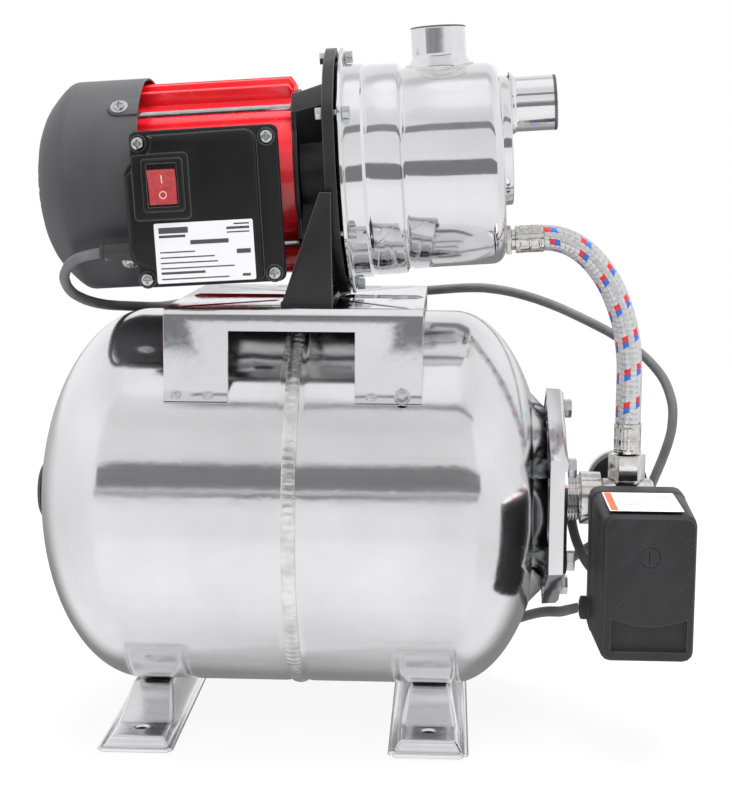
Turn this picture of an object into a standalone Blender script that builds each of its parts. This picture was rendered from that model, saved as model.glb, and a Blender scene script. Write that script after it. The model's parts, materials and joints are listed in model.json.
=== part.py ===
"""Booster set: a horizontal jet pump on a horizontal stainless pressure vessel.

Lengths are in millimetres and angles in degrees; the helpers turn them into Blender's metres.
Two frames are used. The tank frame has its origin on the floor below the vessel's middle weld, X to
the pump's suction end, Y to the back, Z up. The pump frame lies along the pump's shaft: its first
coordinate runs along the shaft from the flange between motor and pump, the third one points up.
"""

import math

import bmesh
import bpy
from mathutils import Matrix, Vector

MM = 0.001
GAP = 0.3

# The weld seam of the vessel stands off the middle of the whole set.
SEAM_X = -41.11
PUMP_ORIGIN = Vector((25.0, 0.0, 404.5))
PUMP_TILT = 3.4

# Vessel
TANK_RADIUS = 138.0
TANK_AXIS_Z = 166.0
TANK_SHEET = 1.5
LEFT_STRAIGHT = -115.0
LEFT_DOME = 78.0
RIGHT_STRAIGHT = 110.0
RIGHT_DOME = 68.7
NECK_RADIUS = 57.0
MOUTH_X = 185.5
TANK_BOLT_CIRCLE = 67.0
VALVE_HOLE = 5.0

# Feet and the saddle bracket
FOOT_CENTRES = {"foot_left": -112.5, "foot_right": 94.7}
FOOT_HALF_WIDTH = 27.0
FOOT_HALF_LENGTH = 105.3
FOOT_HOLE_Y = 74.7
FOOT_SHEET = 2.0
BRACKET_LEFT = -87.4
BRACKET_RIGHT = 88.6
BRACKET_TOP = 314.7
BRACKET_HALF_DEPTH = 102.5
BRACKET_SHEET = 1.8

# Pump, along the shaft
CASING_RADIUS = 71.8
CASING_END = 118.0
FLANGE_BOLT_CIRCLE = 81.5
FLANGE_BOLT_ANGLES = [30 + 60 * k for k in range(6)]
DISCHARGE_U = 76.5
DISCHARGE_RIM = 99.1
SUCTION_W = 41.3
SUCTION_RIM = 158.9
SOCKET_RADIUS = 19.5
SOCKET_BORE = 15.2

# Motor, along the shaft
HOUSING_START = -140.0
HOUSING_END = -27.5
TIE_ROD_CIRCLE = 66.5
FAN_COVER_RADIUS = 75.0
FAN_COVER_RIM = -133.0

# Terminal box, in the pump frame
BOX_LEFT, BOX_RIGHT = -134.0, -33.6
BOX_BOTTOM, BOX_TOP = -69.7, 35.5
BOX_SCREWS = [(-127.7, 27.2), (-41.1, 27.2), (-127.7, -64.0), (-41.1, -64.0)]
ROCKER_U, ROCKER_W, ROCKER_Y = -111.5, -1.1, -98.0
ROCKER_REST_TILT = 10.0

# Pressure switch, gauge and connector, in the tank frame
PORT_X = 238.5
SWITCH_FRONT = -112.0
SWITCH_SPLIT = -45.5
COVER_SCREW = (243.2, 149.0)
GAUGE_X, GAUGE_Z, GAUGE_RADIUS = 236.5, 171.0, 21.7
CABLE_RADIUS = 4.0
CABLE_BACK_Y = 108.0


# ---------------------------------------------------------------- helpers


def clear_scene():
    for obj in list(bpy.data.objects):
        bpy.data.objects.remove(obj, do_unlink=True)


def material(name, colour, roughness, metallic):
    made = bpy.data.materials.get(name)
    if made:
        return made
    made = bpy.data.materials.new(name)
    made.use_nodes = True
    shader = made.node_tree.nodes["Principled BSDF"]
    shader.inputs["Base Color"].default_value = (*colour, 1.0)
    shader.inputs["Roughness"].default_value = roughness
    shader.inputs["Metallic"].default_value = metallic
    return made


def stainless():
    return material("polished_stainless", (0.78, 0.77, 0.75), 0.12, 1.0)


def zinc():
    return material("zinc_plated_steel", (0.70, 0.70, 0.68), 0.28, 1.0)


def nickel():
    return material("nickel_plated_brass", (0.75, 0.72, 0.66), 0.2, 1.0)


def red_paint():
    return material("red_paint", (0.62, 0.02, 0.03), 0.25, 0.0)


def black_paint():
    return material("black_paint", (0.02, 0.02, 0.022), 0.4, 0.0)


def black_plastic():
    return material("black_plastic", (0.018, 0.018, 0.02), 0.35, 0.0)


def grey_plastic():
    return material("dark_grey_plastic", (0.05, 0.052, 0.055), 0.5, 0.0)


def red_plastic():
    return material("red_plastic", (0.55, 0.02, 0.02), 0.2, 0.0)


def rubber():
    return material("rubber", (0.02, 0.02, 0.02), 0.7, 0.0)


def braid():
    return material("steel_braid", (0.72, 0.72, 0.72), 0.35, 0.9)


def lamination():
    return material("motor_steel", (0.35, 0.34, 0.33), 0.45, 0.9)


def empty(name, parent=None, at=(0, 0, 0), turn=(0, 0, 0)):
    made = bpy.data.objects.new(name, None)
    bpy.context.scene.collection.objects.link(made)
    made.parent = parent
    made.location = Vector(at) * MM
    made.rotation_euler = [math.radians(a) for a in turn]
    return made


def put(name, mesh, paint, parent, at=(0, 0, 0), turn=(0, 0, 0)):
    """Turns a bmesh in millimetres into a shaded object in metres, in triangles, as Booleans like."""
    bmesh.ops.recalc_face_normals(mesh, faces=mesh.faces)
    mesh.normal_update()
    bmesh.ops.triangulate(mesh, faces=mesh.faces)
    if mesh.calc_volume(signed=True) < 0:
        bmesh.ops.reverse_faces(mesh, faces=mesh.faces)
    bmesh.ops.scale(mesh, vec=(MM, MM, MM), verts=mesh.verts)
    data = bpy.data.meshes.new(name)
    mesh.to_mesh(data)
    mesh.free()
    data.shade_smooth()
    data.set_sharp_from_angle(angle=math.radians(35))
    if paint:
        data.materials.append(paint)
    made = bpy.data.objects.new(name, data)
    bpy.context.scene.collection.objects.link(made)
    made.parent = parent
    made.location = Vector(at) * MM
    made.rotation_euler = [math.radians(a) for a in turn]
    return made


def along_axis(axis, along, across, up):
    if axis == "X":
        return (along, across, up)
    if axis == "Y":
        return (across, along, up)
    return (across, up, along)


def bridge(mesh, one, two):
    """Joins two rings, or a ring and a pole, with faces."""
    if len(one) == 1 and len(two) == 1:
        return
    count = max(len(one), len(two))
    for k in range(count):
        a, b = one[k % len(one)], one[(k + 1) % len(one)]
        c, d = two[(k + 1) % len(two)], two[k % len(two)]
        corners = list(dict.fromkeys((a, b, c, d)))
        mesh.faces.new(corners)


def add_turned(mesh, profile, axis, steps, tube, centre=(0, 0, 0)):
    """Adds one body of rings. A radius may be a number or a rule that takes the angle in degrees."""
    rings = []
    for along, radius in profile:
        if radius == 0:
            rings.append([mesh.verts.new(Vector(centre) + Vector(along_axis(axis, along, 0, 0)))])
            continue
        ring = []
        for k in range(steps):
            angle = 360.0 * k / steps
            reach = radius(angle) if callable(radius) else radius
            across = reach * math.cos(math.radians(angle))
            up = reach * math.sin(math.radians(angle))
            ring.append(mesh.verts.new(Vector(centre) + Vector(along_axis(axis, along, across, up))))
        rings.append(ring)
    for one, two in zip(rings, rings[1:]):
        bridge(mesh, one, two)
    if tube:
        bridge(mesh, rings[-1], rings[0])
        return
    for end in (rings[0], rings[-1]):
        if len(end) > 1:
            mesh.faces.new(end)


def turned(name, paint, parent, profile, axis="X", steps=40, tube=False, at=(0, 0, 0)):
    mesh = bmesh.new()
    add_turned(mesh, profile, axis, steps, tube)
    return put(name, mesh, paint, parent, at)


def add_sheet(mesh, outside, inside, low, high):
    """A bent sheet along X between two lines of as many points, closed round its four edges."""
    rows = []
    for line, level in ((outside, low), (outside, high), (inside, high), (inside, low)):
        rows.append([mesh.verts.new(along_axis("X", level, a, b)) for a, b in line])
    for one, two in zip(rows, rows[1:] + rows[:1]):
        for k in range(len(one) - 1):
            mesh.faces.new((one[k], one[k + 1], two[k + 1], two[k]))
    for k in (0, -1):
        mesh.faces.new([row[k] for row in rows])


def add_prism(mesh, outline, low, high, axis):
    ends = [
        [mesh.verts.new(along_axis(axis, level, a, b)) for a, b in outline] for level in (low, high)
    ]
    bridge(mesh, *ends)
    for end in ends:
        mesh.faces.new(end)


def prism(name, paint, parent, outline, low, high, axis, at=(0, 0, 0), turn=(0, 0, 0)):
    """An outline drawn across an axis and extruded along it."""
    mesh = bmesh.new()
    add_prism(mesh, outline, low, high, axis)
    return put(name, mesh, paint, parent, at, turn)


def lofted(name, paint, parent, sections):
    """A body through closed sections, each a list of points."""
    mesh = bmesh.new()
    rings = [[mesh.verts.new(point) for point in section] for section in sections]
    for one, two in zip(rings, rings[1:]):
        bridge(mesh, one, two)
    mesh.faces.new(rings[0])
    mesh.faces.new(rings[-1])
    return put(name, mesh, paint, parent)


def box_outline(left, right, low, high, corner=0.0, steps=3):
    """A rectangle with rounded corners."""
    if corner == 0:
        return [(left, low), (right, low), (right, high), (left, high)]
    points = []
    centres = [
        (right - corner, high - corner),
        (left + corner, high - corner),
        (left + corner, low + corner),
        (right - corner, low + corner),
    ]
    for quarter, (a, b) in enumerate(centres):
        for k in range(steps + 1):
            angle = math.radians(90 * quarter + 90 * k / steps)
            points.append((a + corner * math.cos(angle), b + corner * math.sin(angle)))
    return points


def helper(obj):
    """Hides a body that only serves a Boolean."""
    obj.hide_render = True
    obj.display_type = "WIRE"
    return obj


def combine(obj, other, operation, solver="EXACT"):
    modifier = obj.modifiers.new(other.name, "BOOLEAN")
    modifier.operation = operation
    modifier.solver = solver
    modifier.object = helper(other)


def cut(obj, other, solver="EXACT"):
    combine(obj, other, "DIFFERENCE", solver)


def unite(obj, other, solver="EXACT"):
    combine(obj, other, "UNION", solver)


def drills(name, parent, places, radius, low, high, axis, steps=12):
    """Hidden cylinders, all along one axis, that cut holes at the given places."""
    mesh = bmesh.new()
    for a, b in places:
        centre = along_axis(axis, 0, a, b)
        add_turned(mesh, [(low, radius), (high, radius)], axis, steps, False, centre)
    return put(name, mesh, None, parent)


def circle_places(radius, angles):
    return [(radius * math.cos(math.radians(a)), radius * math.sin(math.radians(a))) for a in angles]


def hexagon(flats):
    """The rule of a hexagon's radius, with a corner at angle 0."""

    def reach(angle):
        return flats / 2 / math.cos(math.radians((angle % 60) - 30))

    return reach


def bumped(base, rise, centres, width):
    """The rule of a disc with rounded lobes."""

    def reach(angle):
        away = min(abs((angle - centre + 180) % 360 - 180) for centre in centres)
        if away >= width:
            return base
        return base + rise * (0.5 + 0.5 * math.cos(math.pi * away / width))

    return reach


def stepped(base, top, centres, width):
    """The rule of a disc with square lobes."""

    def reach(angle):
        away = min(abs((angle - centre + 180) % 360 - 180) for centre in centres)
        return top if away < width else base

    return reach


def offset(rule, by):
    return lambda angle: rule(angle) + by


def dome(start, depth, radius, stop_radius, steps):
    """Points (along, radius) of half an ellipse, from its rim to the stop radius."""
    last = math.acos(stop_radius / radius)
    angles = [last * k / steps for k in range(1, steps + 1)]
    return [(start + depth * math.sin(a), radius * math.cos(a)) for a in angles]


def smooth_path(points, per_span=6):
    """A dense Catmull-Rom line through the points."""
    points = [Vector(p) for p in points]
    ends = [2 * points[0] - points[1], *points, 2 * points[-1] - points[-2]]
    line = [points[0]]
    for before, one, two, after in zip(ends, ends[1:], ends[2:], ends[3:]):
        for k in range(1, per_span + 1):
            t = k / per_span
            line.append(
                0.5
                * (
                    2 * one
                    + (two - before) * t
                    + (2 * before - 5 * one + 4 * two - after) * t * t
                    + (3 * one - before - 3 * two + after) * t * t * t
                )
            )
    return line


def lengths(line):
    total = [0.0]
    for one, two in zip(line, line[1:]):
        total.append(total[-1] + (two - one).length)
    return total


def at_distance(line, total, distance):
    """The point and the direction of the line this far from its start."""
    distance = min(max(distance, 0.0), total[-1])
    k = next(i for i in range(1, len(total)) if distance <= total[i] + 1e-9)
    share = (distance - total[k - 1]) / (total[k] - total[k - 1])
    return line[k - 1].lerp(line[k], share), (line[k] - line[k - 1]).normalized()


def swept(name, paint, parent, line, stations, steps):
    """A round body along a line. Stations are (distance, radius or rule of the angle)."""
    mesh = bmesh.new()
    total = lengths(line)
    across = None
    rings = []
    for distance, radius in stations:
        centre, forward = at_distance(line, total, distance)
        if across is None:
            across = Vector((0, 1, 0)).cross(forward).cross(forward).normalized()
        across = (across - forward * across.dot(forward)).normalized()
        other = forward.cross(across)
        ring = []
        for k in range(steps):
            angle = 360.0 * k / steps
            reach = radius(angle) if callable(radius) else radius
            turn = math.radians(angle)
            ring.append(mesh.verts.new(centre + reach * (math.cos(turn) * across + math.sin(turn) * other)))
        rings.append(ring)
    for one, two in zip(rings, rings[1:]):
        bridge(mesh, one, two)
    mesh.faces.new(rings[0])
    mesh.faces.new(rings[-1])
    return put(name, mesh, paint, parent)


def even_stations(start, stop, count, radius):
    return [(start + (stop - start) * k / count, radius) for k in range(count + 1)]


def pump_point(u, y, w):
    """A point of the pump frame in the tank frame."""
    turn = Matrix.Rotation(math.radians(-PUMP_TILT), 3, "Y")
    return PUMP_ORIGIN + turn @ Vector((u, y, w))


# ---------------------------------------------------------------- pressure vessel


def tank_shells(tank):
    outer = dome(0, LEFT_DOME, TANK_RADIUS, VALVE_HOLE, 7)
    inner = dome(0, LEFT_DOME - TANK_SHEET, TANK_RADIUS - TANK_SHEET, VALVE_HOLE, 5)
    left = [(-GAP / 2, TANK_RADIUS), (LEFT_STRAIGHT, TANK_RADIUS)]
    left += [(LEFT_STRAIGHT - a, r) for a, r in outer]
    left += [(LEFT_STRAIGHT - a, r) for a, r in reversed(inner)]
    left += [(LEFT_STRAIGHT, TANK_RADIUS - TANK_SHEET), (-GAP / 2, TANK_RADIUS - TANK_SHEET)]
    turned("tank_shell_left", stainless(), tank, left, steps=36, tube=True)

    ring = bumped(66.5, 12.0, FLANGE_BOLT_ANGLES, 17.0)
    right = [(GAP / 2, TANK_RADIUS), (RIGHT_STRAIGHT, TANK_RADIUS)]
    right += [(RIGHT_STRAIGHT + a, r) for a, r in dome(0, RIGHT_DOME, TANK_RADIUS, 78.0, 6)]
    right += [(178.5, NECK_RADIUS), (182.5, NECK_RADIUS), (182.5, ring), (MOUTH_X, ring)]
    right += [(MOUTH_X, NECK_RADIUS - TANK_SHEET), (178.0, NECK_RADIUS - TANK_SHEET)]
    inner = dome(0, RIGHT_DOME - TANK_SHEET, TANK_RADIUS - TANK_SHEET, 76.5, 4)
    right += [(RIGHT_STRAIGHT + a, r) for a, r in reversed(inner)]
    right += [(RIGHT_STRAIGHT, TANK_RADIUS - TANK_SHEET), (GAP / 2, TANK_RADIUS - TANK_SHEET)]
    shell = turned("tank_shell_right", stainless(), tank, right, steps=36, tube=True)
    places = circle_places(TANK_BOLT_CIRCLE, FLANGE_BOLT_ANGLES)
    cut(shell, drills("neck_drill", tank, places, 4.3, 180.0, 188.0, "X"))


def tank_bladder(tank):
    outer = [(187.2, 60.0), (185.8, 60.0), (185.8, 52.5), (170.0, 52.5), (145.0, 96.0), (115.0, 124.0)]
    outer += [(-110.0, 124.0), (-145.0, 98.0), (-160.0, 55.0), (-165.0, 0)]
    inner = [(-162.5, 0), (-157.8, 54.0), (-143.5, 96.0), (-109.5, 121.8), (114.0, 121.8)]
    inner += [(143.0, 95.0), (167.5, 50.3), (187.2, 50.3)]
    # The mouth is open: the outer and inner walls meet in the flat end face of the lip.
    mesh = bmesh.new()
    add_turned_shell(mesh, outer + inner, 16)
    put("tank_bladder", mesh, rubber(), tank)


def add_turned_shell(mesh, profile, steps):
    """A cup: two poles inside the profile, and its last ring joined back to its first one."""
    rings = []
    for along, radius in profile:
        if radius == 0:
            rings.append([mesh.verts.new((along, 0, 0))])
            continue
        turns = [math.radians(360.0 * k / steps) for k in range(steps)]
        rings.append([mesh.verts.new((along, radius * math.cos(t), radius * math.sin(t))) for t in turns])
    for one, two in zip(rings, rings[1:] + rings[:1]):
        bridge(mesh, one, two)


def counter_flange(tank):
    rim = bumped(70.0, 12.0, FLANGE_BOLT_ANGLES, 17.0)
    profile = [(178.0, rim), (188.2, offset(rim, -0.6)), (190.6, offset(rim, -3.2))]
    profile += [(190.6, 26.0), (192.0, 22.0), (192.0, 16.5), (214.0, 16.5), (215.0, 15.5), (215.0, 13.0)]
    profile += [(187.8, 13.0), (187.8, offset(rim, -4.6)), (186.0, offset(rim, -2.5))]
    profile += [(178.0, offset(rim, -2.3))]
    flange = turned("tank_counter_flange", stainless(), tank, profile, steps=36, tube=True)
    places = circle_places(TANK_BOLT_CIRCLE, FLANGE_BOLT_ANGLES)
    cut(flange, drills("flange_drill", tank, places, 4.3, 184.0, 194.0, "X"))
    head = hexagon(13.0)
    bolt = [(196.8, 0), (196.8, head), (190.9, head), (190.9, 3.9), (182.2, 3.9)]
    bolt += [(182.2, head), (178.2, head), (178.2, 0)]
    for k, (y, z) in enumerate(places):
        turned(f"tank_flange_bolt_{k + 1}", zinc(), tank, bolt, steps=12, at=(0, y, z))


def air_valve(tank):
    stem = [(-199.0, 0), (-199.0, 4.0), (-190.2, 4.0), (-190.2, 8.0), (-187.6, 8.0), (-187.6, 4.0)]
    stem += [(-176.0, 4.0), (-176.0, 0)]
    turned("air_valve_stem", nickel(), tank, stem, steps=16)
    cap = [(-201.2, 0), (-200.7, 10.0), (-198.8, 19.0), (-195.8, 24.0), (-192.4, 25.2), (-192.4, 23.2)]
    cap += [(-195.8, 22.0), (-197.6, 16.0), (-199.4, 8.0), (-199.4, 0)]
    turned("air_valve_cap", black_plastic(), tank, cap, steps=24)


def foot(root, name, centre_x):
    """Pressed sheet: a flange on the floor, a low platform at each end and a ridge under the vessel."""
    half = [(FOOT_HALF_LENGTH, 0.0), (97.8, 0.0), (94.8, 6.0), (62.0, 6.0), (54.0, 8.5), (44.0, 15.0)]
    half += [(34.0, 21.5), (24.0, 25.2)]
    stations = [(-y, rise) for y, rise in half] + [(y, rise) for y, rise in reversed(half)]
    sections = []
    for y, rise in stations:
        run = 3.0 + 0.25 * rise
        edge, wall = FOOT_HALF_WIDTH, FOOT_HALF_WIDTH - 2.5
        under = [(-edge, 0), (-wall, 0), (-wall + run + 1.3, rise)]
        under += [(wall - run - 1.3, rise), (wall, 0), (edge, 0)]
        over = [(edge, 0), (wall, 0), (wall - run, rise), (-wall + run, rise), (-wall, 0), (-edge, 0)]
        section = [(centre_x + x, y, z) for x, z in under]
        section += [(centre_x + x, y, z + FOOT_SHEET) for x, z in over]
        sections.append(section)
    made = lofted(name, stainless(), root, sections)
    places = [(centre_x, FOOT_HOLE_Y), (centre_x, -FOOT_HOLE_Y)]
    cut(made, drills(name + "_drill", root, places, 4.5, -1.0, 12.0, "Z", steps=16))


def mount_bracket(root):
    """A sheet bent into a channel with flared lips, cut through in the middle of both sides."""
    side = BRACKET_HALF_DEPTH
    inner = side - BRACKET_SHEET
    top = BRACKET_TOP
    under = top - BRACKET_SHEET
    outside = [(side + 7.9, 252.7), (side + 2.4, 259.2), (side, top - 4), (side - 4, top)]
    inside = [(inner + 8.3, 251.6), (inner + 2.4, 258.4), (inner, under - 3), (inner - 3, under)]
    outside += [(-y, z) for y, z in reversed(outside)]
    inside += [(-y, z) for y, z in reversed(inside)]
    mesh = bmesh.new()
    add_sheet(mesh, outside, inside, BRACKET_LEFT, BRACKET_RIGHT)
    made = put("pump_mount_bracket", mesh, stainless(), root)
    window = box_outline(-43.2, 42.7, 240.0, 299.3)
    cut(made, prism("bracket_window", None, root, window, -130.0, 130.0, "Y"))
    mesh = bmesh.new()
    for x in (-22.0, 45.0):
        for y in (-85.0, 85.0):
            slot = box_outline(x - 7.0, x + 7.0, y - 2.5, y + 2.5)
            add_prism(mesh, slot, top - 5, top + 5, "Z")
    cut(made, put("bracket_slots", mesh, None, root))


# ---------------------------------------------------------------- pump


def pump_foot(root):
    """Cast foot: a plate on the bracket and two upright gussets that hold the flange's sides."""
    floor = BRACKET_TOP + GAP
    plate = box_outline(-8.6, 24.5, -92.0, 92.0)
    made = prism("pump_foot", black_paint(), root, plate, floor, floor + 3.2, "Z")
    gusset = [(-8.6, floor), (26.6, floor), (25.4, 392.4), (17.8, 392.4)]
    for name, low in (("gusset_front", -92.0), ("gusset_back", 85.6)):
        unite(made, prism(name, None, root, gusset, low, low + 6.4, "Y"))
    places = [(8.0, -45.0), (8.0, 45.0)]
    cut(made, drills("foot_drill", root, places, 4.2, floor - 2, floor + 8, "Z"))


def lantern(pump):
    arms = [45, 135, 225, 315]
    disc = bumped(85.0, 3.5, FLANGE_BOLT_ANGLES, 14.0)
    ears = stepped(61.0, 71.5, arms, 8.0)
    plate = HOUSING_END + GAP
    profile = [(-34.7, 17.8), (-34.7, 24.0), (-29.5, 54.5), (plate, 54.5), (plate, ears), (plate + 3.0, ears)]
    profile += [(plate + 3.0, stepped(42.0, 71.5, arms, 8.0)), (-4.5, stepped(44.0, 78.0, arms, 8.0))]
    profile += [(-4.5, disc), (3.5, disc), (3.5, 15.0)]
    profile += [(-23.7, 15.0), (-23.7, 17.8)]
    made = turned("motor_lantern", black_paint(), pump, profile, steps=48, tube=True)
    places = circle_places(TIE_ROD_CIRCLE, arms)
    cut(made, drills("lantern_rod_drill", pump, places, 2.9, -36.0, -17.0, "X"))
    places = circle_places(FLANGE_BOLT_CIRCLE, FLANGE_BOLT_ANGLES)
    cut(made, drills("lantern_bolt_drill", pump, places, 2.8, -7.0, 6.0, "X"))


def casing(pump):
    flange = bumped(85.0, 3.5, FLANGE_BOLT_ANGLES, 14.0)
    outer = [(CASING_END, 0), (CASING_END, CASING_RADIUS - 10)]
    for angle in (30, 60, 90):
        turn = math.radians(angle)
        outer.append((CASING_END - 10 + 10 * math.cos(turn), CASING_RADIUS - 10 + 10 * math.sin(turn)))
    outer += [(50.0, 72.2), (48.5, 72.8), (47.0, 72.8), (45.0, 75.2), (23.5, 75.4), (21.5, 76.6)]
    outer += [(9.6, 76.8), (8.6, 77.8), (8.6, offset(flange, -1.0)), (7.6, flange), (5.6, flange)]
    inner = [(5.6, 75.3), (21.0, 75.0), (23.0, 73.8), (44.5, 73.6), (47.5, 71.0), (50.0, 70.6)]
    inner += [(107.0, 70.2), (113.5, 67.0), (116.4, 60.5), (116.4, 0)]
    made = turned("pump_casing", stainless(), pump, outer + inner, steps=36)
    face = [(112.0, 0), (112.0, 46.0), (123.0, 46.0), (125.0, 43.5), (125.0, 0)]
    # EXACT leaves the bolt holes' rims open here; all of these bodies are closed.
    unite(made, turned("casing_face_boss", None, pump, face, steps=36, at=(0, 0, 16.0)), "MANIFOLD")
    suction = drills("suction_drill", pump, [(0, SUCTION_W)], 14.0, 108.0, 130.0, "X", steps=20)
    cut(made, suction, "MANIFOLD")
    discharge = drills("discharge_drill", pump, [(DISCHARGE_U, 0)], 14.5, 55.0, 80.0, "Z", steps=20)
    cut(made, discharge, "MANIFOLD")
    places = circle_places(FLANGE_BOLT_CIRCLE, FLANGE_BOLT_ANGLES)
    cut(made, drills("casing_bolt_drill", pump, places, 2.8, 4.0, 12.0, "X"), "MANIFOLD")


def sockets(pump):
    bore = SOCKET_BORE
    wall = SOCKET_RADIUS
    suction = [(125.4, 21.4), (127.6, 21.0), (129.4, wall), (SUCTION_RIM - 0.8, wall)]
    suction += [(SUCTION_RIM, wall - 0.6), (SUCTION_RIM, bore), (125.4, bore)]
    turned("suction_socket", stainless(), pump, suction, steps=28, tube=True, at=(0, 0, SUCTION_W))
    discharge = [(64.0, 23.6), (71.0, 23.4), (74.5, 21.6), (78.0, wall), (DISCHARGE_RIM - 0.8, wall)]
    discharge += [(DISCHARGE_RIM, wall - 0.6), (DISCHARGE_RIM, bore), (64.0, bore)]
    made = turned(
        "discharge_socket", stainless(), pump, discharge, "Z", 28, True, at=(DISCHARGE_U, 0, 0)
    )
    saddle = [(48.0, CASING_RADIUS + 0.7), (105.0, CASING_RADIUS + 0.7)]
    cut(made, turned("socket_saddle", None, pump, saddle, steps=72))


def casing_closure(pump):
    plate = [(3.8, 73.0), (5.3, 73.0), (5.3, 14.0), (3.8, 14.0)]
    turned("seal_plate", stainless(), pump, plate, steps=40, tube=True)
    ring = [(3.8, 74.2), (4.5, 73.4), (5.3, 74.2), (5.3, 75.4), (4.5, 76.2), (3.8, 75.4)]
    turned("casing_oring", rubber(), pump, ring, steps=32, tube=True)
    head = hexagon(8.0)
    bolt = [(14.4, 0), (14.4, head), (8.9, head), (8.9, 2.5), (-4.8, 2.5), (-4.8, head)]
    bolt += [(-9.2, head), (-9.2, 0)]
    for k, (y, w) in enumerate(circle_places(FLANGE_BOLT_CIRCLE, FLANGE_BOLT_ANGLES)):
        turned(f"casing_bolt_{k + 1}", zinc(), pump, bolt, steps=12, at=(0, y, w))


def hydraulics(pump):
    seal = [(5.5, 7.3), (5.5, 12.6), (8.0, 12.6), (9.0, 11.0), (15.0, 11.0), (16.0, 12.6), (17.6, 12.6)]
    turned("mechanical_seal", rubber(), pump, seal + [(17.6, 7.3)], steps=16, tube=True)
    seat = [(-1.0, 13.4), (5.0, 13.4), (5.0, 8.0), (-1.0, 8.0)]
    turned("seal_seat", lamination(), pump, seat, steps=16, tube=True)
    wheel = [(18.2, 7.3), (18.2, 12.0), (21.0, 14.0), (23.0, 53.0), (33.0, 53.0), (36.0, 24.0), (38.0, 18.0)]
    wheel += [(46.0, 18.0), (46.0, 15.0), (38.0, 14.0), (36.0, 7.3)]
    turned("impeller", nickel(), pump, wheel, steps=20, tube=True)
    cup = [(20.0, 68.0), (44.0, 68.0), (52.0, 58.0), (52.0, 24.0), (60.0, 22.0), (60.0, 18.9)]
    cup += [(47.5, 18.9), (47.5, 50.0), (40.0, 55.5), (20.0, 55.5)]
    turned("diffuser", black_plastic(), pump, cup, steps=24, tube=True)
    venturi = [(60.5, 17.0), (64.0, 17.0), (90.0, 12.0), (104.0, 16.0), (111.0, 20.0), (111.0, 13.0)]
    venturi += [(104.0, 11.0), (90.0, 7.0), (64.0, 13.5), (60.5, 14.0)]
    turned("ejector_venturi", black_plastic(), pump, venturi, steps=16, tube=True)


# ---------------------------------------------------------------- motor


def rotor(pump):
    shaft = [(-188.0, 0), (-188.0, 5.5), (-152.0, 5.5), (-152.0, 6.0), (-141.0, 6.0), (-141.0, 9.0)]
    shaft += [(-36.0, 9.0), (-36.0, 7.5), (-22.0, 7.5), (-22.0, 7.0), (42.0, 7.0), (42.0, 0)]
    turned("rotor_shaft", lamination(), pump, shaft, steps=16)
    core = [(-125.0, 9.3), (-125.0, 31.0), (-55.0, 31.0), (-55.0, 9.3)]
    turned("rotor_core", lamination(), pump, core, steps=24, tube=True)
    blades = stepped(13.0, 61.0, [45 * k for k in range(8)], 3.0)
    fan = [(-185.0, 5.8), (-185.0, blades), (-164.0, blades), (-164.0, 5.8)]
    turned("cooling_fan", black_plastic(), pump, fan, steps=72, tube=True)


def bearings(pump):
    for name, low, high, bore, rim in (
        ("bearing_front", -34.5, -24.0, 7.8, 17.5),
        ("bearing_rear", -151.5, -142.0, 6.3, 15.7),
    ):
        race = [(low, bore), (low, rim), (high, rim), (high, bore)]
        turned(name, zinc(), pump, race, steps=20, tube=True)


def stator(pump):
    profile = [(-122.0, 31.8), (-122.0, 36.0), (-134.0, 38.0), (-134.0, 50.0), (-122.0, 54.6)]
    profile += [(-58.0, 54.6), (-46.0, 50.0), (-46.0, 38.0), (-58.0, 36.0), (-58.0, 31.8)]
    turned("stator", lamination(), pump, profile, steps=24, tube=True)


def fin_angles():
    """Angles of the housing's outline: four for each fin and a few for each plain stretch."""
    angles = []
    for side in (0, 90, 270):
        for k in (-2, -1, 0, 1, 2):
            centre = side + 13.0 * k
            angles += [centre - 1.9, centre - 1.2, centre + 1.2, centre + 1.9]
    for low, high, count in ((32, 58, 3), (122, 238, 14), (302, 328, 3)):
        angles += [low + (high - low) * k / count for k in range(count + 1)]
    return sorted(a % 360 for a in angles)


def motor_housing(pump):
    """Finned extrusion: fins above, below and behind, plain where the box and the tie rods sit."""
    fins = [side + 13.0 * k for side in (0, 90, 270) for k in (-2, -1, 0, 1, 2)]
    valley = 60.5

    def outline(tip):
        points = []
        for angle in fin_angles():
            away = min(abs((angle - fin + 180) % 360 - 180) for fin in fins)
            reach = tip if away < 1.5 else valley
            points.append((reach * math.cos(math.radians(angle)), reach * math.sin(math.radians(angle))))
        return points

    bore = [(55.0 * math.cos(math.radians(a)), 55.0 * math.sin(math.radians(a))) for a in fin_angles()]
    mesh = bmesh.new()
    rings = []
    for level, points in (
        (HOUSING_START, bore),
        (HOUSING_START, outline(70.5)),
        (HOUSING_END - 3.0, outline(70.5)),
        (HOUSING_END, outline(66.0)),
        (HOUSING_END, bore),
    ):
        rings.append([mesh.verts.new((level, y, w)) for y, w in points])
    for one, two in zip(rings, rings[1:] + rings[:1]):
        bridge(mesh, one, two)
    put("motor_housing", mesh, red_paint(), pump)


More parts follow.
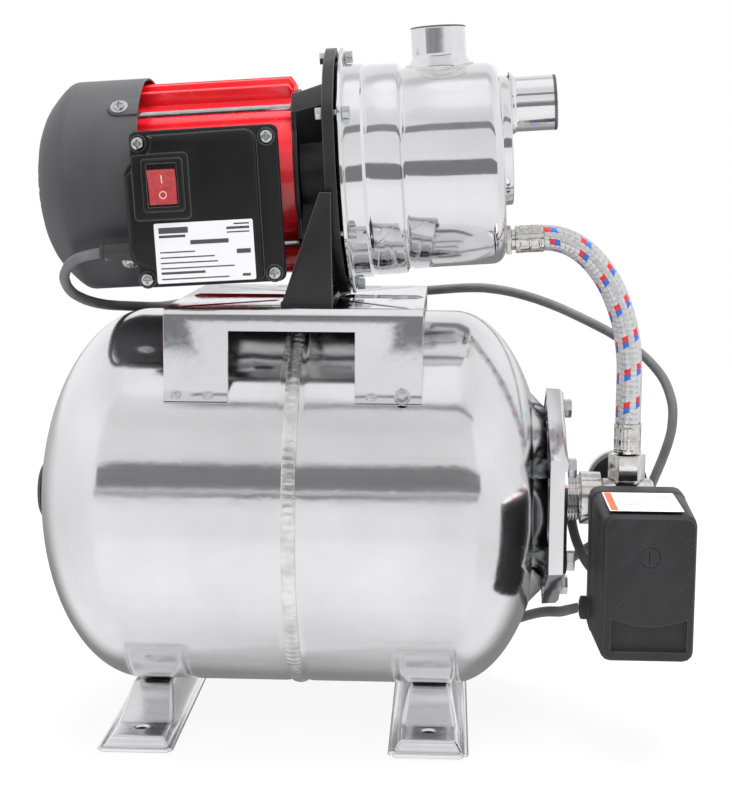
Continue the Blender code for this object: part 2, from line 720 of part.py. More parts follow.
def rear_end(pump):
    arms = [45, 135, 225, 315]
    ears = stepped(62.0, 71.5, arms, 8.0)
    profile = [(-152.0, 16.0), (-152.0, 24.0), (-148.0, 30.0), (-148.0, ears), (-140.3, ears), (-140.3, 54.5)]
    profile += [(-136.5, 54.5), (-136.5, 48.0), (-140.0, 9.5), (-141.7, 9.5), (-141.7, 16.0)]
    shield = turned("rear_end_shield", black_paint(), pump, profile, steps=48, tube=True)
    places = circle_places(TIE_ROD_CIRCLE, arms)
    cut(shield, drills("shield_drill", pump, places, 2.9, -150.0, -138.0, "X"))
    head = hexagon(8.0)
    rod = [(-153.2, 0), (-153.2, head), (-148.3, head), (-148.3, 2.4), (-18.0, 2.4), (-18.0, 0)]
    for k, (y, w) in enumerate(places):
        turned(f"tie_rod_{k + 1}", zinc(), pump, rod, steps=12, at=(0, y, w))


def fan_cover(pump):
    rim = FAN_COVER_RIM
    outer = [(rim, FAN_COVER_RADIUS), (-184.0, FAN_COVER_RADIUS), (-189.0, 72.5), (-203.0, 58.0)]
    outer += [(-210.5, 43.0), (-215.0, 23.0), (-217.0, 0)]
    inner = [(-214.8, 0), (-212.8, 22.5), (-208.4, 41.8), (-201.2, 56.4), (-187.8, 70.4), (-183.4, 72.7)]
    inner += [(rim, 72.7)]
    mesh = bmesh.new()
    add_turned_shell(mesh, outer + inner, 36)
    made = put("fan_cover", mesh, grey_plastic(), pump)
    mesh = bmesh.new()
    for k in range(12):
        turn = Matrix.Rotation(math.radians(30 * k), 4, "X")
        before = len(mesh.verts)
        add_prism(mesh, box_outline(-1.8, 1.8, 20.0, 46.0), -225.0, -198.0, "X")
        mesh.verts.ensure_lookup_table()
        bmesh.ops.transform(mesh, matrix=turn, verts=mesh.verts[before:])
    for angle in (45, 135, 225, 315):
        turn = Matrix.Rotation(math.radians(angle), 4, "X")
        before = len(mesh.verts)
        add_prism(mesh, box_outline(66.0, 80.0, -6.0, 6.0), -150.0, rim + 4, "X")
        mesh.verts.ensure_lookup_table()
        bmesh.ops.transform(mesh, matrix=turn, verts=mesh.verts[before:])
    cut(made, put("fan_cover_slots", mesh, None, pump))


# ---------------------------------------------------------------- terminal box


def terminal_box(pump):
    saddle = [(-62.0, 26.0)]
    saddle += [
        (61.0 * math.cos(math.radians(a)), 61.0 * math.sin(math.radians(a))) for a in range(154, 207, 5)
    ]
    saddle += [(-62.0, -26.0)]
    tray = [(-88.0, BOX_TOP - 2), (-64.0, BOX_TOP - 2), *saddle]
    tray += [(-64.0, BOX_BOTTOM + 2), (-88.0, BOX_BOTTOM + 2)]
    base = prism("terminal_box_base", black_plastic(), pump, tray, BOX_LEFT + 2, BOX_RIGHT - 4, "X")
    room = box_outline(BOX_LEFT + 5, BOX_RIGHT - 5, BOX_BOTTOM + 5, BOX_TOP - 5)
    cut(base, prism("box_room", None, pump, room, -90.0, -65.0, "Y"))

    left_bulge = [(BOX_LEFT, -52.0), (BOX_LEFT - 5.0, -48.0), (BOX_LEFT - 5.0, 8.0), (BOX_LEFT, 12.0)]
    plate = [(BOX_RIGHT - 5, BOX_BOTTOM), (BOX_RIGHT, BOX_BOTTOM + 5), (BOX_RIGHT, BOX_TOP - 5)]
    plate += [(BOX_RIGHT - 5, BOX_TOP), (BOX_LEFT + 5, BOX_TOP), (BOX_LEFT, BOX_TOP - 5)]
    plate += list(reversed(left_bulge)) + [(BOX_LEFT, BOX_BOTTOM + 5), (BOX_LEFT + 5, BOX_BOTTOM)]
    cover = prism("terminal_box_cover", black_plastic(), pump, plate, -94.0, -88.3, "Y")

    notch = 9.0
    raised = [(-48.0, BOX_BOTTOM + 2.5), (-48.0, BOX_TOP - 2.5)]
    for u, w, first in ((*BOX_SCREWS[0], 40), (*BOX_SCREWS[2], 90)):
        for k in range(6):
            turn = math.radians(first - 130 * k / 5)
            raised.append((u + notch * math.cos(turn), w + notch * math.sin(turn)))
        if first == 40:
            raised += [(BOX_LEFT - 3.5, 6.5), (BOX_LEFT - 3.5, -47.0)]
    mesh = bmesh.new()
    add_prism(mesh, raised, -100.0, -93.0, "Y")
    unite(cover, put("cover_plateau", mesh, None, pump))
    frame = box_outline(ROCKER_U - 20.5, ROCKER_U + 17.5, ROCKER_W - 23.0, ROCKER_W + 21.0, 3.0)
    unite(cover, prism("rocker_frame", None, pump, frame, -101.5, -99.0, "Y"))
    bezel = box_outline(ROCKER_U - 13.5, ROCKER_U + 13.5, ROCKER_W - 17.0, ROCKER_W + 17.0, 2.0)
    unite(cover, prism("rocker_bezel", None, pump, bezel, -103.5, -100.5, "Y"))
    hollow = box_outline(BOX_LEFT + 7, -50.0, BOX_BOTTOM + 12, BOX_TOP - 12)
    cut(cover, prism("cover_hollow", None, pump, hollow, -97.5, -86.0, "Y"))
    opening = box_outline(ROCKER_U - 9.9, ROCKER_U + 9.9, ROCKER_W - 14.2, ROCKER_W + 14.2)
    cut(cover, prism("rocker_opening", None, pump, opening, -106.0, -90.0, "Y"))

    can = [(-118.0, 0), (-118.0, 12.5), (-60.0, 12.5), (-60.0, 0)]
    turned("start_capacitor", zinc(), pump, can, steps=20, at=(0, -79.0, -42.0))


def rocker(pump):
    """A shallow V seen from the side, resting with its lower half pressed in."""
    side = [(1.0, -9.0), (1.0, 9.0), (-7.5, 12.0), (-6.0, 2.0), (-6.0, -2.0), (-7.5, -12.0)]
    prism(
        "rocker_button",
        red_plastic(),
        pump,
        side,
        -9.5,
        9.5,
        "X",
        at=(ROCKER_U, ROCKER_Y, ROCKER_W),
        turn=(ROCKER_REST_TILT, 0, 0),
    )


# ---------------------------------------------------------------- connector, hose, gauge, switch


def connector(root):
    axis_z = TANK_AXIS_Z
    body = [(204.5, 16.9), (204.5, 19.5), (219.0, 19.5), (221.0, 15.0), (256.0, 15.0), (258.0, 13.0)]
    body += [(258.0, 0), (217.0, 0), (217.0, 16.9)]
    mesh = bmesh.new()
    add_turned_shell(mesh, body, 24)
    made = put("brass_connector", mesh, nickel(), root, (0, 0, axis_z))
    upper = [(axis_z, 9.0), (178.5, 9.0), (178.5, 11.0), (180.6, 11.0), (180.6, 8.4), (190.0, 8.4)]
    unite(made, turned("upper_port", None, root, upper, "Z", 20, at=(PORT_X, 0, 0)))
    front = [(-25.7, 6.5), (0, 6.5)]
    unite(made, turned("front_port", None, root, front, "Y", 16, at=(PORT_X, 0, axis_z)))
    back = [(0, 6.5), (21.0, 6.5), (21.0, 9.0), (29.4, 9.0)]
    unite(made, turned("back_port", None, root, back, "Y", 16, at=(GAUGE_X, 0, GAUGE_Z - 1)))


def gauge(root):
    case = [(29.8, 0), (29.8, 16.5), (31.5, 19.8), (32.5, GAUGE_RADIUS), (52.0, GAUGE_RADIUS)]
    case += [(52.0, 19.8), (46.0, 19.8), (46.0, 0)]
    turned("gauge_case", black_plastic(), root, case, "Y", 36, at=(GAUGE_X, 0, GAUGE_Z))
    # The needle rests at the scale's zero, down and to the left of someone who reads the dial.
    needle = [(-2.6, -4.0), (0.0, -4.6), (2.6, -4.0), (2.8, 0.0), (0.6, 3.0), (0.35, 15.5), (-0.35, 15.5)]
    needle += [(-0.6, 3.0), (-2.8, 0.0)]
    at = (GAUGE_X, 46.4, GAUGE_Z)
    prism("gauge_pointer", black_plastic(), root, needle, 0.0, 1.0, "Y", at, (0, 135.0, 0))


def hose_line():
    """Straight out of the casing, a quarter of an ellipse, then straight down into the nut."""
    start = pump_point(CASING_END + GAP + 0.1, 0, -55.1)
    line = [start, Vector((176.0, 0, 358.2))]
    for k in range(1, 13):
        turn = math.radians(90 * k / 12)
        line.append(Vector((176.0 + 62.5 * math.sin(turn), 0, 258.2 + 100.0 * math.cos(turn))))
    line.append(Vector((PORT_X, 0, 190.4)))
    return line


def hose(root):
    line = hose_line()
    total = lengths(line)[-1]
    hexed = hexagon(20.8)
    ferrule, woven, tail = 9.8, 9.2, 6.0
    stations = [(0.0, hexed), (3.8, hexed), (4.2, 7.6), (6.4, 7.6), (6.8, ferrule), (27.0, ferrule)]
    stations += even_stations(27.5, total - 32.6, 13, woven)
    stations += [(total - 32.0, ferrule), (total - 10.2, ferrule), (total - 9.6, tail), (total, tail)]
    swept("braided_hose", braid(), root, line, stations, 24)
    head = hexagon(24.0)
    nut = [(181.0, 9.0), (181.0, head), (199.5, head), (199.5, 6.6), (190.9, 6.6), (190.9, 9.0)]
    turned("hose_swivel_nut", nickel(), root, nut, "Z", 24, True, at=(PORT_X, 0, 0))


def switch_outline(grow):
    return box_outline(212.0 - grow, 274.5 + grow * 0.6, 76.0 - grow * 0.6, 177.5 + grow, 7.0)


def pressure_switch(root):
    rear = [(x, -26.0, z) for x, z in switch_outline(3.0)]
    split = [(x, SWITCH_SPLIT, z) for x, z in switch_outline(3.0)]
    base = lofted("switch_base", grey_plastic(), root, [rear, split])
    room = box_outline(216.0, 270.0, 82.0, 172.0)
    cut(base, prism("base_room", None, root, room, SWITCH_SPLIT - 2, -32.0, "Y"))
    gland = [(203.0, 6.0), (204.0, 8.6), (214.0, 8.6)]
    unite(base, turned("mains_gland", None, root, gland, "X", 20, at=(0, -36.0, 92.0)))

    split = [(x, SWITCH_SPLIT - GAP, z) for x, z in switch_outline(2.6)]
    edge = [(x, SWITCH_FRONT + 3.0, z) for x, z in switch_outline(0.4)]
    front = [(x, SWITCH_FRONT, z) for x, z in switch_outline(-1.6)]
    cover = lofted("switch_cover", grey_plastic(), root, [split, edge, front])
    room = box_outline(215.5, 271.5, 80.5, 174.0)
    cut(cover, prism("cover_room", None, root, room, -104.5, SWITCH_SPLIT + 2, "Y"))
    x, z = COVER_SCREW
    seat = [(-120.0, 7.5), (-108.0, 7.5), (-108.0, 3.1), (-100.0, 3.1)]
    cut(cover, turned("screw_seat", None, root, seat, "Y", 24, at=(x, 0, z)))
    handle = []
    for k in range(9):
        share = k / 8
        handle.append((218.5 + 51.2 * share, 106.0 - 5.5 * math.sin(math.pi * share)))
    recess = handle + [(269.7, 83.0), (218.5, 83.0)]
    cut(cover, prism("cover_recess", None, root, recess, -120.0, -107.8, "Y"))
    mesh = bmesh.new()
    # Pairs of slanting grooves; each pair is named by where it crosses the cover's left edge.
    for crossing in (77.0, 83.0, 100.0, 105.5, 132.5, 137.0, 156.5, 161.0):
        slant_groove(mesh, crossing)
    cut(cover, put("cover_grooves", mesh, None, root))
    head = SWITCH_FRONT + 0.3
    screw = [(head, 0), (head, 7.1), (-108.4, 7.1), (-108.4, 2.7), (-92.0, 2.7), (-92.0, 0)]
    made = turned("cover_screw", grey_plastic(), root, screw, "Y", 24, at=(x, 0, z))
    slot = box_outline(-0.8, 0.8, -4.6, 4.6)
    cut(made, prism("screw_slot", None, root, slot, -114.0, -110.2, "Y", at=(x, 0, z)))


def slant_groove(mesh, crossing):
    """A thin 45 degree groove across the panel between the recess and the top edge."""
    left, right, low, high = 214.5, 272.0, 112.0, 174.5
    start = left if crossing >= low else left + (low - crossing)
    stop = min(right, left + (high - crossing))
    if stop - start < 6:
        return
    half = 0.45
    first = (start, crossing + start - left)
    last = (stop, crossing + stop - left)
    outline = [(first[0], first[1] - half), (last[0], last[1] - half), (last[0], last[1] + half)]
    outline.append((first[0], first[1] + half))
    add_prism(mesh, outline, SWITCH_FRONT - 3, SWITCH_FRONT + 0.8, "Y")


# ---------------------------------------------------------------- cables


def motor_cable(root):
    """From the terminal box round the left end, behind the bracket and the gauge, to the switch's back."""
    boot_start = pump_point(BOX_LEFT + 2 - GAP, -80.0, -44.5)
    boot_end = pump_point(-162.0, -80.0, -45.0)
    route = [boot_start, boot_end, (-151, -78, 348), (-162, -71, 339), (-165, -62, 327), (-160, -45, 317)]
    route += [(-148, -20, 309), (-134, 20, 304), (-119, 58, 300), (-110, 94, 299), (-94, 107, 300)]
    route += [(0, CABLE_BACK_Y, 304), (89, CABLE_BACK_Y, 310), (135, 106, 313), (178, 100, 304)]
    route += [(214, 92, 289), (240, 84, 276), (257, 76, 264), (270, 68, 252), (278, 60, 235), (280, 54, 218)]
    route += [(276, 50, 200), (266, 47, 174), (250, 46, 140), (215, 46, 117), (199, 54, 101)]
    route += [(184, 72, 99), (178, 87, 122), (183, 85, 150), (190, 82, 169), (198, 67, 181), (203, 42, 175)]
    route += [(199, 23, 153), (202, 6, 134), (208, -8, 121), (215, -17, 114), (216.5, -24.9, 113.5)]
    line = smooth_path(route, 4)
    total = lengths(line)[-1]
    stations = [(0, 7.2), (26.0, 6.3), (27.5, 6.3), (27.6, CABLE_RADIUS)]
    stations += even_stations(32.0, total, 52, CABLE_RADIUS)
    swept("motor_cable", rubber(), root, line, stations, 8)


def mains_cable(root):
    """From the switch's gland, behind the vessel, to a moulded two-pin plug on the floor."""
    plug_x, plug_y, plug_z = 22.0, 94.0, 18.6
    route = [(202.4, -36, 92), (198, -35.6, 91.6), (192, -24, 85), (182, 0, 78), (171, 38, 64)]
    route += [(155, 70, 48), (130, 94, 28), (95, 100, 15), (62, 98, 13), (40, 95, 17)]
    route += [(plug_x, plug_y, plug_z), (plug_x - 44, plug_y, plug_z)]
    line = smooth_path(route, 5)
    total = lengths(line)[-1]
    stations = even_stations(0, total - 52, 24, CABLE_RADIUS)
    stations += [(total - 51.5, 6.0), (total - 38, 8.0), (total - 34, 14.0)]
    stations += [(total - 24, 18.0), (total, 18.2)]
    made = swept("mains_cable", rubber(), root, line, stations, 12)
    pin_places = [(plug_y - 9.5, plug_z), (plug_y + 9.5, plug_z)]
    for k, place in enumerate(pin_places):
        unite(made, drills(f"plug_pin_{k + 1}", root, [place], 2.4, plug_x - 63, plug_x - 40, "X", steps=8))


# ---------------------------------------------------------------- the set


def build():
    clear_scene()
    root = empty("booster_set", at=(SEAM_X, 0, 0))
    tank = empty("tank_axis", root, at=(0, 0, TANK_AXIS_Z))
    pump = empty("pump_axis", root, at=PUMP_ORIGIN, turn=(0, -PUMP_TILT, 0))
    tank_shells(tank)
    tank_bladder(tank)
    counter_flange(tank)
    air_valve(tank)
    for name, centre_x in FOOT_CENTRES.items():
        foot(root, name, centre_x)
    mount_bracket(root)
    pump_foot(root)
    lantern(pump)
    casing(pump)
    sockets(pump)
    casing_closure(pump)
    hydraulics(pump)
    rotor(pump)
    bearings(pump)
    stator(pump)
    motor_housing(pump)
    rear_end(pump)
    fan_cover(pump)
    terminal_box(pump)
    rocker(pump)
    connector(root)
    gauge(root)
    hose(root)
    pressure_switch(root)
    motor_cable(root)
    mains_cable(root)


build()
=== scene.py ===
"""Looks of the booster set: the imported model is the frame, and this script dresses it.

Lengths are in millimetres in two frames. The vessel frame has its origin on the vessel's axis at the
weld seam. The pump frame lies along the shaft. The vessel's floor frame is the vessel frame with its
origin on the floor. Functions turn them into metres in the row frame.
"""

import json
from math import acos, atan2, copysign, cos, exp, hypot, pi, radians, sin, sqrt

import bmesh
import bpy
from mathutils import Matrix, Vector

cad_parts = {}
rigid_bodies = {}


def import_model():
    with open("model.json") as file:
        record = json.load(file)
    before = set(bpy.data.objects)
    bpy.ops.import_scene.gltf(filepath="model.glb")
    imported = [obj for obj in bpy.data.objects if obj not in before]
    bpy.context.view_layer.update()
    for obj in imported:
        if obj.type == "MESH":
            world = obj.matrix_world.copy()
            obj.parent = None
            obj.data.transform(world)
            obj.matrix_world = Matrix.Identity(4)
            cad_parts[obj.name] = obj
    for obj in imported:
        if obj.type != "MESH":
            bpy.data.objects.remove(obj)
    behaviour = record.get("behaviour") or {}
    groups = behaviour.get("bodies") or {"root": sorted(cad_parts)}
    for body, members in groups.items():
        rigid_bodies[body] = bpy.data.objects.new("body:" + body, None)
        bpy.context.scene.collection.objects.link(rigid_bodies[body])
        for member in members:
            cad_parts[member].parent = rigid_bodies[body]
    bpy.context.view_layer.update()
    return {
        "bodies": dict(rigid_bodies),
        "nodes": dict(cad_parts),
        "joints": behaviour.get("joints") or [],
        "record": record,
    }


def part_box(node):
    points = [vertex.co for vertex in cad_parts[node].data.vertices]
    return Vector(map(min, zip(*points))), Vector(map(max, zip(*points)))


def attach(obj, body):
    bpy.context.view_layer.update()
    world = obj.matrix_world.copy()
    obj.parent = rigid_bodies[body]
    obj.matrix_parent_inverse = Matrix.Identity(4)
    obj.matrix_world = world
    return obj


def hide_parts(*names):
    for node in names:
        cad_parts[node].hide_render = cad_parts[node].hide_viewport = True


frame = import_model()

MM = 0.001
ROOT = "set"

# ---------------------------------------------------------------- places, read from the frame


def joint(name):
    return next(j for j in frame["joints"] if j["name"] == name)


def box_mm(node):
    low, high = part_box(node)
    return low / MM, high / MM


left_low, left_high = box_mm("tank_shell_left")
right_low, right_high = box_mm("tank_shell_right")
SEAM_X = (left_high.x + right_low.x) / 2
TANK_RADIUS = left_high.y
TANK_Z = (left_low.z + left_high.z) / 2
LEFT_POLE = SEAM_X - left_low.x
MOUTH = right_high.x - SEAM_X

FLOOR = Matrix.Translation(Vector((SEAM_X, 0, 0)) * MM) @ Matrix.Scale(MM, 4)
VESSEL = Matrix.Translation(Vector((SEAM_X, 0, TANK_Z)) * MM) @ Matrix.Scale(MM, 4)

spin = joint("rotor_spin")
along = Vector(spin["axis"]).normalized()
above = Vector((-along.z, 0, along.x))
PUMP = Matrix.Identity(4)
for column, direction in enumerate((along, Vector((0, 1, 0)), above)):
    PUMP.col[column][:3] = direction * MM
PUMP.col[3][:3] = spin["pos_m"]

needle = joint("gauge_needle_turn")
GAUGE = FLOOR.inverted() @ Vector(needle["pos_m"])
rocker = joint("rocker_press")
ROCKER = PUMP.inverted() @ Vector(rocker["pos_m"])
nut = joint("swivel_nut_turn")
PORT = FLOOR.inverted() @ Vector(nut["pos_m"])

CASING_RADIUS = 71.8
CASING_END = 118.0
EARS = [30 + 60 * k for k in range(6)]
DISCHARGE_U = 76.5
SUCTION_W = 41.3
BOX_SCREWS = [(-127.7, 27.2), (-41.1, 27.2), (-127.7, -64.0), (-41.1, -64.0)]

# ---------------------------------------------------------------- materials


class Nodes:
    """A node tree, with short ways to add and join its nodes."""

    def __init__(self, tree):
        self.tree = tree

    def node(self, kind, settings=None, **inputs):
        made = self.tree.nodes.new("ShaderNode" + kind)
        for key, setting in (settings or {}).items():
            setattr(made, key, setting)
        for key, source in inputs.items():
            self.feed(made.inputs[key.replace("_", " ")], source)
        return made

    def feed(self, socket, source):
        if isinstance(source, bpy.types.NodeSocket):
            self.tree.links.new(source, socket)
        else:
            socket.default_value = source

    def spread(self, source, low, high, start=0.3, stop=0.7, kind="LINEAR"):
        """The source's stretch from start to stop, turned into low to high."""
        ends = {"From_Min": start, "From_Max": stop, "To_Min": low, "To_Max": high}
        return self.node("MapRange", {"interpolation_type": kind}, Value=source, **ends).outputs[0]

    def blend(self, share, first, second):
        made = self.node("Mix", {"data_type": "RGBA"})
        for socket, source in ((0, share), (6, first), (7, second)):
            self.feed(made.inputs[socket], (*source, 1) if isinstance(source, tuple) else source)
        return made.outputs[2]

    def maths(self, operation, first, second=0.0):
        made = self.node("Math", {"operation": operation})
        self.feed(made.inputs[0], first)
        self.feed(made.inputs[1], second)
        return made.outputs[0]


class Paint(Nodes):
    """One material's nodes round its principled shader."""

    def __init__(self, name):
        self.material = bpy.data.materials.new(name)
        self.material.use_nodes = True
        super().__init__(self.material.node_tree)
        self.shader = self.tree.nodes["Principled BSDF"]

    def set(self, **inputs):
        for key, source in inputs.items():
            self.feed(self.shader.inputs[key.replace("_", " ")], source)

    def place(self, stretch=(1, 1, 1)):
        coordinates = self.node("TexCoord").outputs["Object"]
        return self.node("Mapping", Vector=coordinates, Scale=stretch).outputs[0]

    def noise(self, scale, stretch=(1, 1, 1), detail=4.0, roughness=0.55):
        place = self.place(stretch)
        made = self.node("TexNoise", Vector=place, Scale=scale, Detail=detail, Roughness=roughness)
        return made.outputs[0]

    def bump(self, height, depth, strength=1.0, normal=None):
        """Adds relief, depth in millimetres, over any relief given as normal."""
        made = self.node("Bump", Height=height, Strength=strength, Distance=depth * MM)
        if normal is not None:
            self.feed(made.inputs["Normal"], normal)
        return made.outputs[0]

    def edges(self, radius):
        """0 on open faces and up to 1 where a convex or concave edge is near."""
        soft = self.node("Bevel", {"samples": 4}, Radius=radius * MM).outputs[0]
        sharp = self.node("NewGeometry").outputs["Normal"]
        made = self.node("VectorMath", {"operation": "DOT_PRODUCT"})
        self.feed(made.inputs[0], soft)
        self.feed(made.inputs[1], sharp)
        return self.spread(made.outputs["Value"], 1.0, 0.0, 0.90, 0.995)


def polished_steel(name, tone, smooth, dull, streak, wave):
    """Polished sheet: fine polishing lines along X, cloudy wipe marks and a slow waviness."""
    paint = Paint(name)
    lines = paint.noise(260, streak, 3.0)
    fine = paint.noise(1400, streak, 2.0)
    cloud = paint.noise(11, (1, 1, 1), 5.0)
    smears = paint.noise(38, (0.35, 1, 1.6), 5.0, 0.65)
    bright = tuple(min(1.0, c * 1.05) for c in tone)
    dim = tuple(c * 0.90 for c in tone)
    colour = paint.blend(paint.spread(cloud, 0, 1), dim, bright)
    rough = paint.spread(lines, smooth, dull)
    rough = paint.maths("ADD", rough, paint.spread(smears, 0.0, 0.05, 0.5, 0.8))
    relief = paint.bump(cloud, wave)
    relief = paint.bump(fine, 0.004, 0.6, relief)
    paint.set(Base_Color=colour, Metallic=1.0, Roughness=rough, Normal=relief)
    paint.set(Anisotropic=0.25)
    return paint.material


def plated(name, tone, smooth, dull):
    """Zinc or nickel: a slight patchy sheen, tool marks and darker patches."""
    paint = Paint(name)
    patch = paint.noise(160, detail=5.0)
    marks = paint.noise(1500, (1, 1, 0.3), 2.0)
    dim = tuple(c * 0.72 for c in tone)
    colour = paint.blend(paint.spread(patch, 0, 1), dim, tone)
    relief = paint.bump(marks, 0.01, 0.5)
    paint.set(Base_Color=colour, Metallic=1.0, Roughness=paint.spread(patch, smooth, dull), Normal=relief)
    return paint.material


def enamel(name, colour, rough, peel, rub, coat=0.6):
    """Sprayed enamel: orange peel, dust in the gloss and lighter edges, part rubbed wear and part painted
    highlight.
    """
    paint = Paint(name)
    skin = paint.noise(420, detail=2.0)
    cloud = paint.noise(30, detail=4.0)
    deep = tuple(c * 0.82 for c in colour)
    tint = paint.blend(paint.spread(cloud, 0, 1), deep, colour)
    # Edges are lightened: partly rubbed wear, partly a painted highlight on the rounded edges.
    tint = paint.blend(paint.maths("MULTIPLY", paint.edges(0.8), rub), tint, (0.75, 0.72, 0.70))
    paint.set(Base_Color=tint, Roughness=paint.spread(cloud, rough, rough + 0.1))
    paint.set(Normal=paint.bump(skin, peel, 0.8))
    paint.set(Coat_Weight=coat, Coat_Roughness=0.08)
    return paint.material


def moulded(name, colour, rough, grain, grain_scale, rub):
    """Moulded plastic: spark-eroded grain, slight flow marks and paler rounded edges, part wear and part
    painted highlight.
    """
    paint = Paint(name)
    pits = paint.noise(grain_scale, detail=3.0, roughness=0.7)
    flow = paint.noise(24, (1, 1, 0.4), 4.0)
    pale = tuple(c * 1.4 + 0.003 for c in colour)
    tint = paint.blend(paint.spread(flow, 0, 1), colour, pale)
    # Paler edges: partly wear, partly a painted highlight on the rounded edges.
    tint = paint.blend(paint.maths("MULTIPLY", paint.edges(0.9), rub), tint, (0.42, 0.42, 0.43))
    paint.set(Base_Color=tint, Roughness=paint.spread(flow, rough, rough + 0.12))
    paint.set(Normal=paint.bump(pits, grain, 0.8), Specular_IOR_Level=0.3)
    return paint.material


def rocker_plastic():
    """Clear red plastic over a dark inside: deep colour with paler cloudy spots and a hard gloss."""
    paint = Paint("rocker_red")
    cloud = paint.noise(420, detail=2.0)
    tint = paint.blend(paint.spread(cloud, 0, 1), (0.26, 0.004, 0.008), (0.48, 0.012, 0.016))
    relief = paint.bump(paint.noise(900), 0.004)
    paint.set(Base_Color=tint, Roughness=0.22, Coat_Weight=0.8, Normal=relief)
    return paint.material


def rubber_skin(name, colour):
    """Rubber with a fine grain and a pale bloom in patches."""
    paint = Paint(name)
    ribs = paint.noise(700, (1, 1, 1), 3.0)
    bloom = paint.noise(45, detail=5.0)
    tint = paint.blend(paint.spread(bloom, 0, 0.5), colour, tuple(c * 2 + 0.015 for c in colour))
    paint.set(Base_Color=tint, Roughness=paint.spread(bloom, 0.42, 0.6), Normal=paint.bump(ribs, 0.02))
    return paint.material


def paper(name, colour):
    """A printed foil or paper label: faint fibres and soft gloss."""
    paint = Paint(name)
    fibre = paint.noise(800, detail=4.0)
    tint = paint.blend(paint.spread(fibre, 0, 0.35), colour, tuple(c * 0.93 for c in colour))
    paint.set(Base_Color=tint, Roughness=paint.spread(fibre, 0.3, 0.42), Normal=paint.bump(fibre, 0.004))
    return paint.material


def wire(name, colour, metal):
    """Braid wires: patchy grime, painted shade in the hollows between them and a fine drawn surface."""
    paint = Paint(name)
    grime = paint.noise(300, detail=3.0)
    drawn = paint.noise(2600, detail=2.0)
    tint = paint.blend(paint.spread(grime, 0, 1), tuple(c * 0.78 for c in colour), colour)
    # Painted shade: the hollows between the wires are darkened where little light reaches.
    painted_hollow_shade = paint.node("AmbientOcclusion", {"samples": 4}, Distance=0.5 * MM).outputs["AO"]
    tint = paint.blend(paint.spread(painted_hollow_shade, 0, 1, 0.25, 0.85), tuple(c * 0.3 for c in colour), tint)
    paint.set(Base_Color=tint, Metallic=metal, Roughness=paint.spread(grime, 0.26, 0.42))
    paint.set(Normal=paint.bump(drawn, 0.01))
    return paint.material


def weld_bead():
    """The dull, rippled and slightly burnt metal of a weld."""
    paint = Paint("weld_metal")
    ripple = paint.noise(330, (0.6, 1, 1), 4.0)
    burn = paint.noise(60, detail=4.0)
    tint = paint.blend(paint.spread(burn, 0, 1), (0.62, 0.61, 0.60), (0.93, 0.93, 0.92))
    paint.set(Base_Color=tint, Metallic=1.0, Roughness=paint.spread(ripple, 0.18, 0.36))
    paint.set(Normal=paint.bump(ripple, 0.3))
    return paint.material


def laminations():
    """The edges of stacked steel sheets."""
    paint = Paint("steel_laminations")
    sheets = paint.node("TexWave", Vector=paint.place(), Scale=600, Distortion=0.3).outputs[1]
    tint = paint.blend(sheets, (0.2, 0.2, 0.21), (0.42, 0.42, 0.43))
    paint.set(Base_Color=tint, Metallic=0.9, Roughness=0.45, Normal=paint.bump(sheets, 0.05))
    return paint.material


def clear_cover():
    """A clear window with a little dust."""
    paint = Paint("gauge_window")
    dust = paint.noise(500)
    paint.set(Base_Color=(0.97, 0.98, 0.98, 1), Roughness=paint.spread(dust, 0.0, 0.04))
    paint.set(Transmission_Weight=1.0, IOR=1.2)
    return paint.material


PAINTS = {
    "tank": polished_steel("tank_steel", (0.83, 0.83, 0.835), 0.09, 0.17, (0.03, 1, 1), 0.5),
    "casing": polished_steel("casing_steel", (0.86, 0.86, 0.87), 0.05, 0.10, (1, 0.05, 0.05), 0.22),
    "pressed": polished_steel("pressed_steel", (0.80, 0.80, 0.805), 0.07, 0.15, (1, 0.08, 1), 0.35),
    "zinc": plated("zinc_plate", (0.74, 0.75, 0.76), 0.18, 0.34),
    "nickel": plated("nickel_plate", (0.84, 0.82, 0.79), 0.08, 0.2),
    "red": enamel("red_enamel", (0.93, 0.016, 0.028), 0.2, 0.03, 0.10),
    "black": enamel("black_enamel", (0.008, 0.008, 0.009), 0.36, 0.06, 0.16, 0.1),
    "gloss_black": moulded("gloss_black_plastic", (0.0055, 0.0055, 0.006), 0.24, 0.012, 900, 0.30),
    "dark_grey": moulded("grained_grey_plastic", (0.044, 0.044, 0.047), 0.40, 0.09, 900, 0.16),
    "switch_grey": moulded("switch_plastic", (0.017, 0.017, 0.018), 0.40, 0.09, 900, 0.12),
    "cap": moulded("cap_plastic", (0.012, 0.012, 0.013), 0.35, 0.02, 900, 0.15),
    "rocker": rocker_plastic(),
    "rubber": rubber_skin("black_rubber", (0.014, 0.014, 0.015)),
    "boot": rubber_skin("boot_rubber", (0.022, 0.022, 0.023)),
    "mark": paper("switch_mark", (0.75, 0.42, 0.42)),
    "cut_edge": plated("cut_edge", (0.22, 0.22, 0.225), 0.3, 0.5),
    "foot": polished_steel("foot_steel", (0.92, 0.92, 0.925), 0.16, 0.26, (0.08, 1, 1), 0.3),
    "cable": rubber_skin("cable_sheath", (0.090, 0.090, 0.094)),
    "steel_wire": wire("braid_wire", (0.88, 0.88, 0.89), 1.0),
    "blue_wire": wire("braid_tracer_blue", (0.03, 0.16, 0.62), 0.1),
    "red_wire": wire("braid_tracer_red", (0.75, 0.03, 0.03), 0.1),
    "weld": weld_bead(),
    "lamination": laminations(),
    "label": paper("label_white", (0.70, 0.70, 0.72)),
    "print": paper("label_ink", (0.06, 0.06, 0.065)),
    "orange": paper("label_orange", (0.82, 0.10, 0.03)),
    "window": clear_cover(),
}

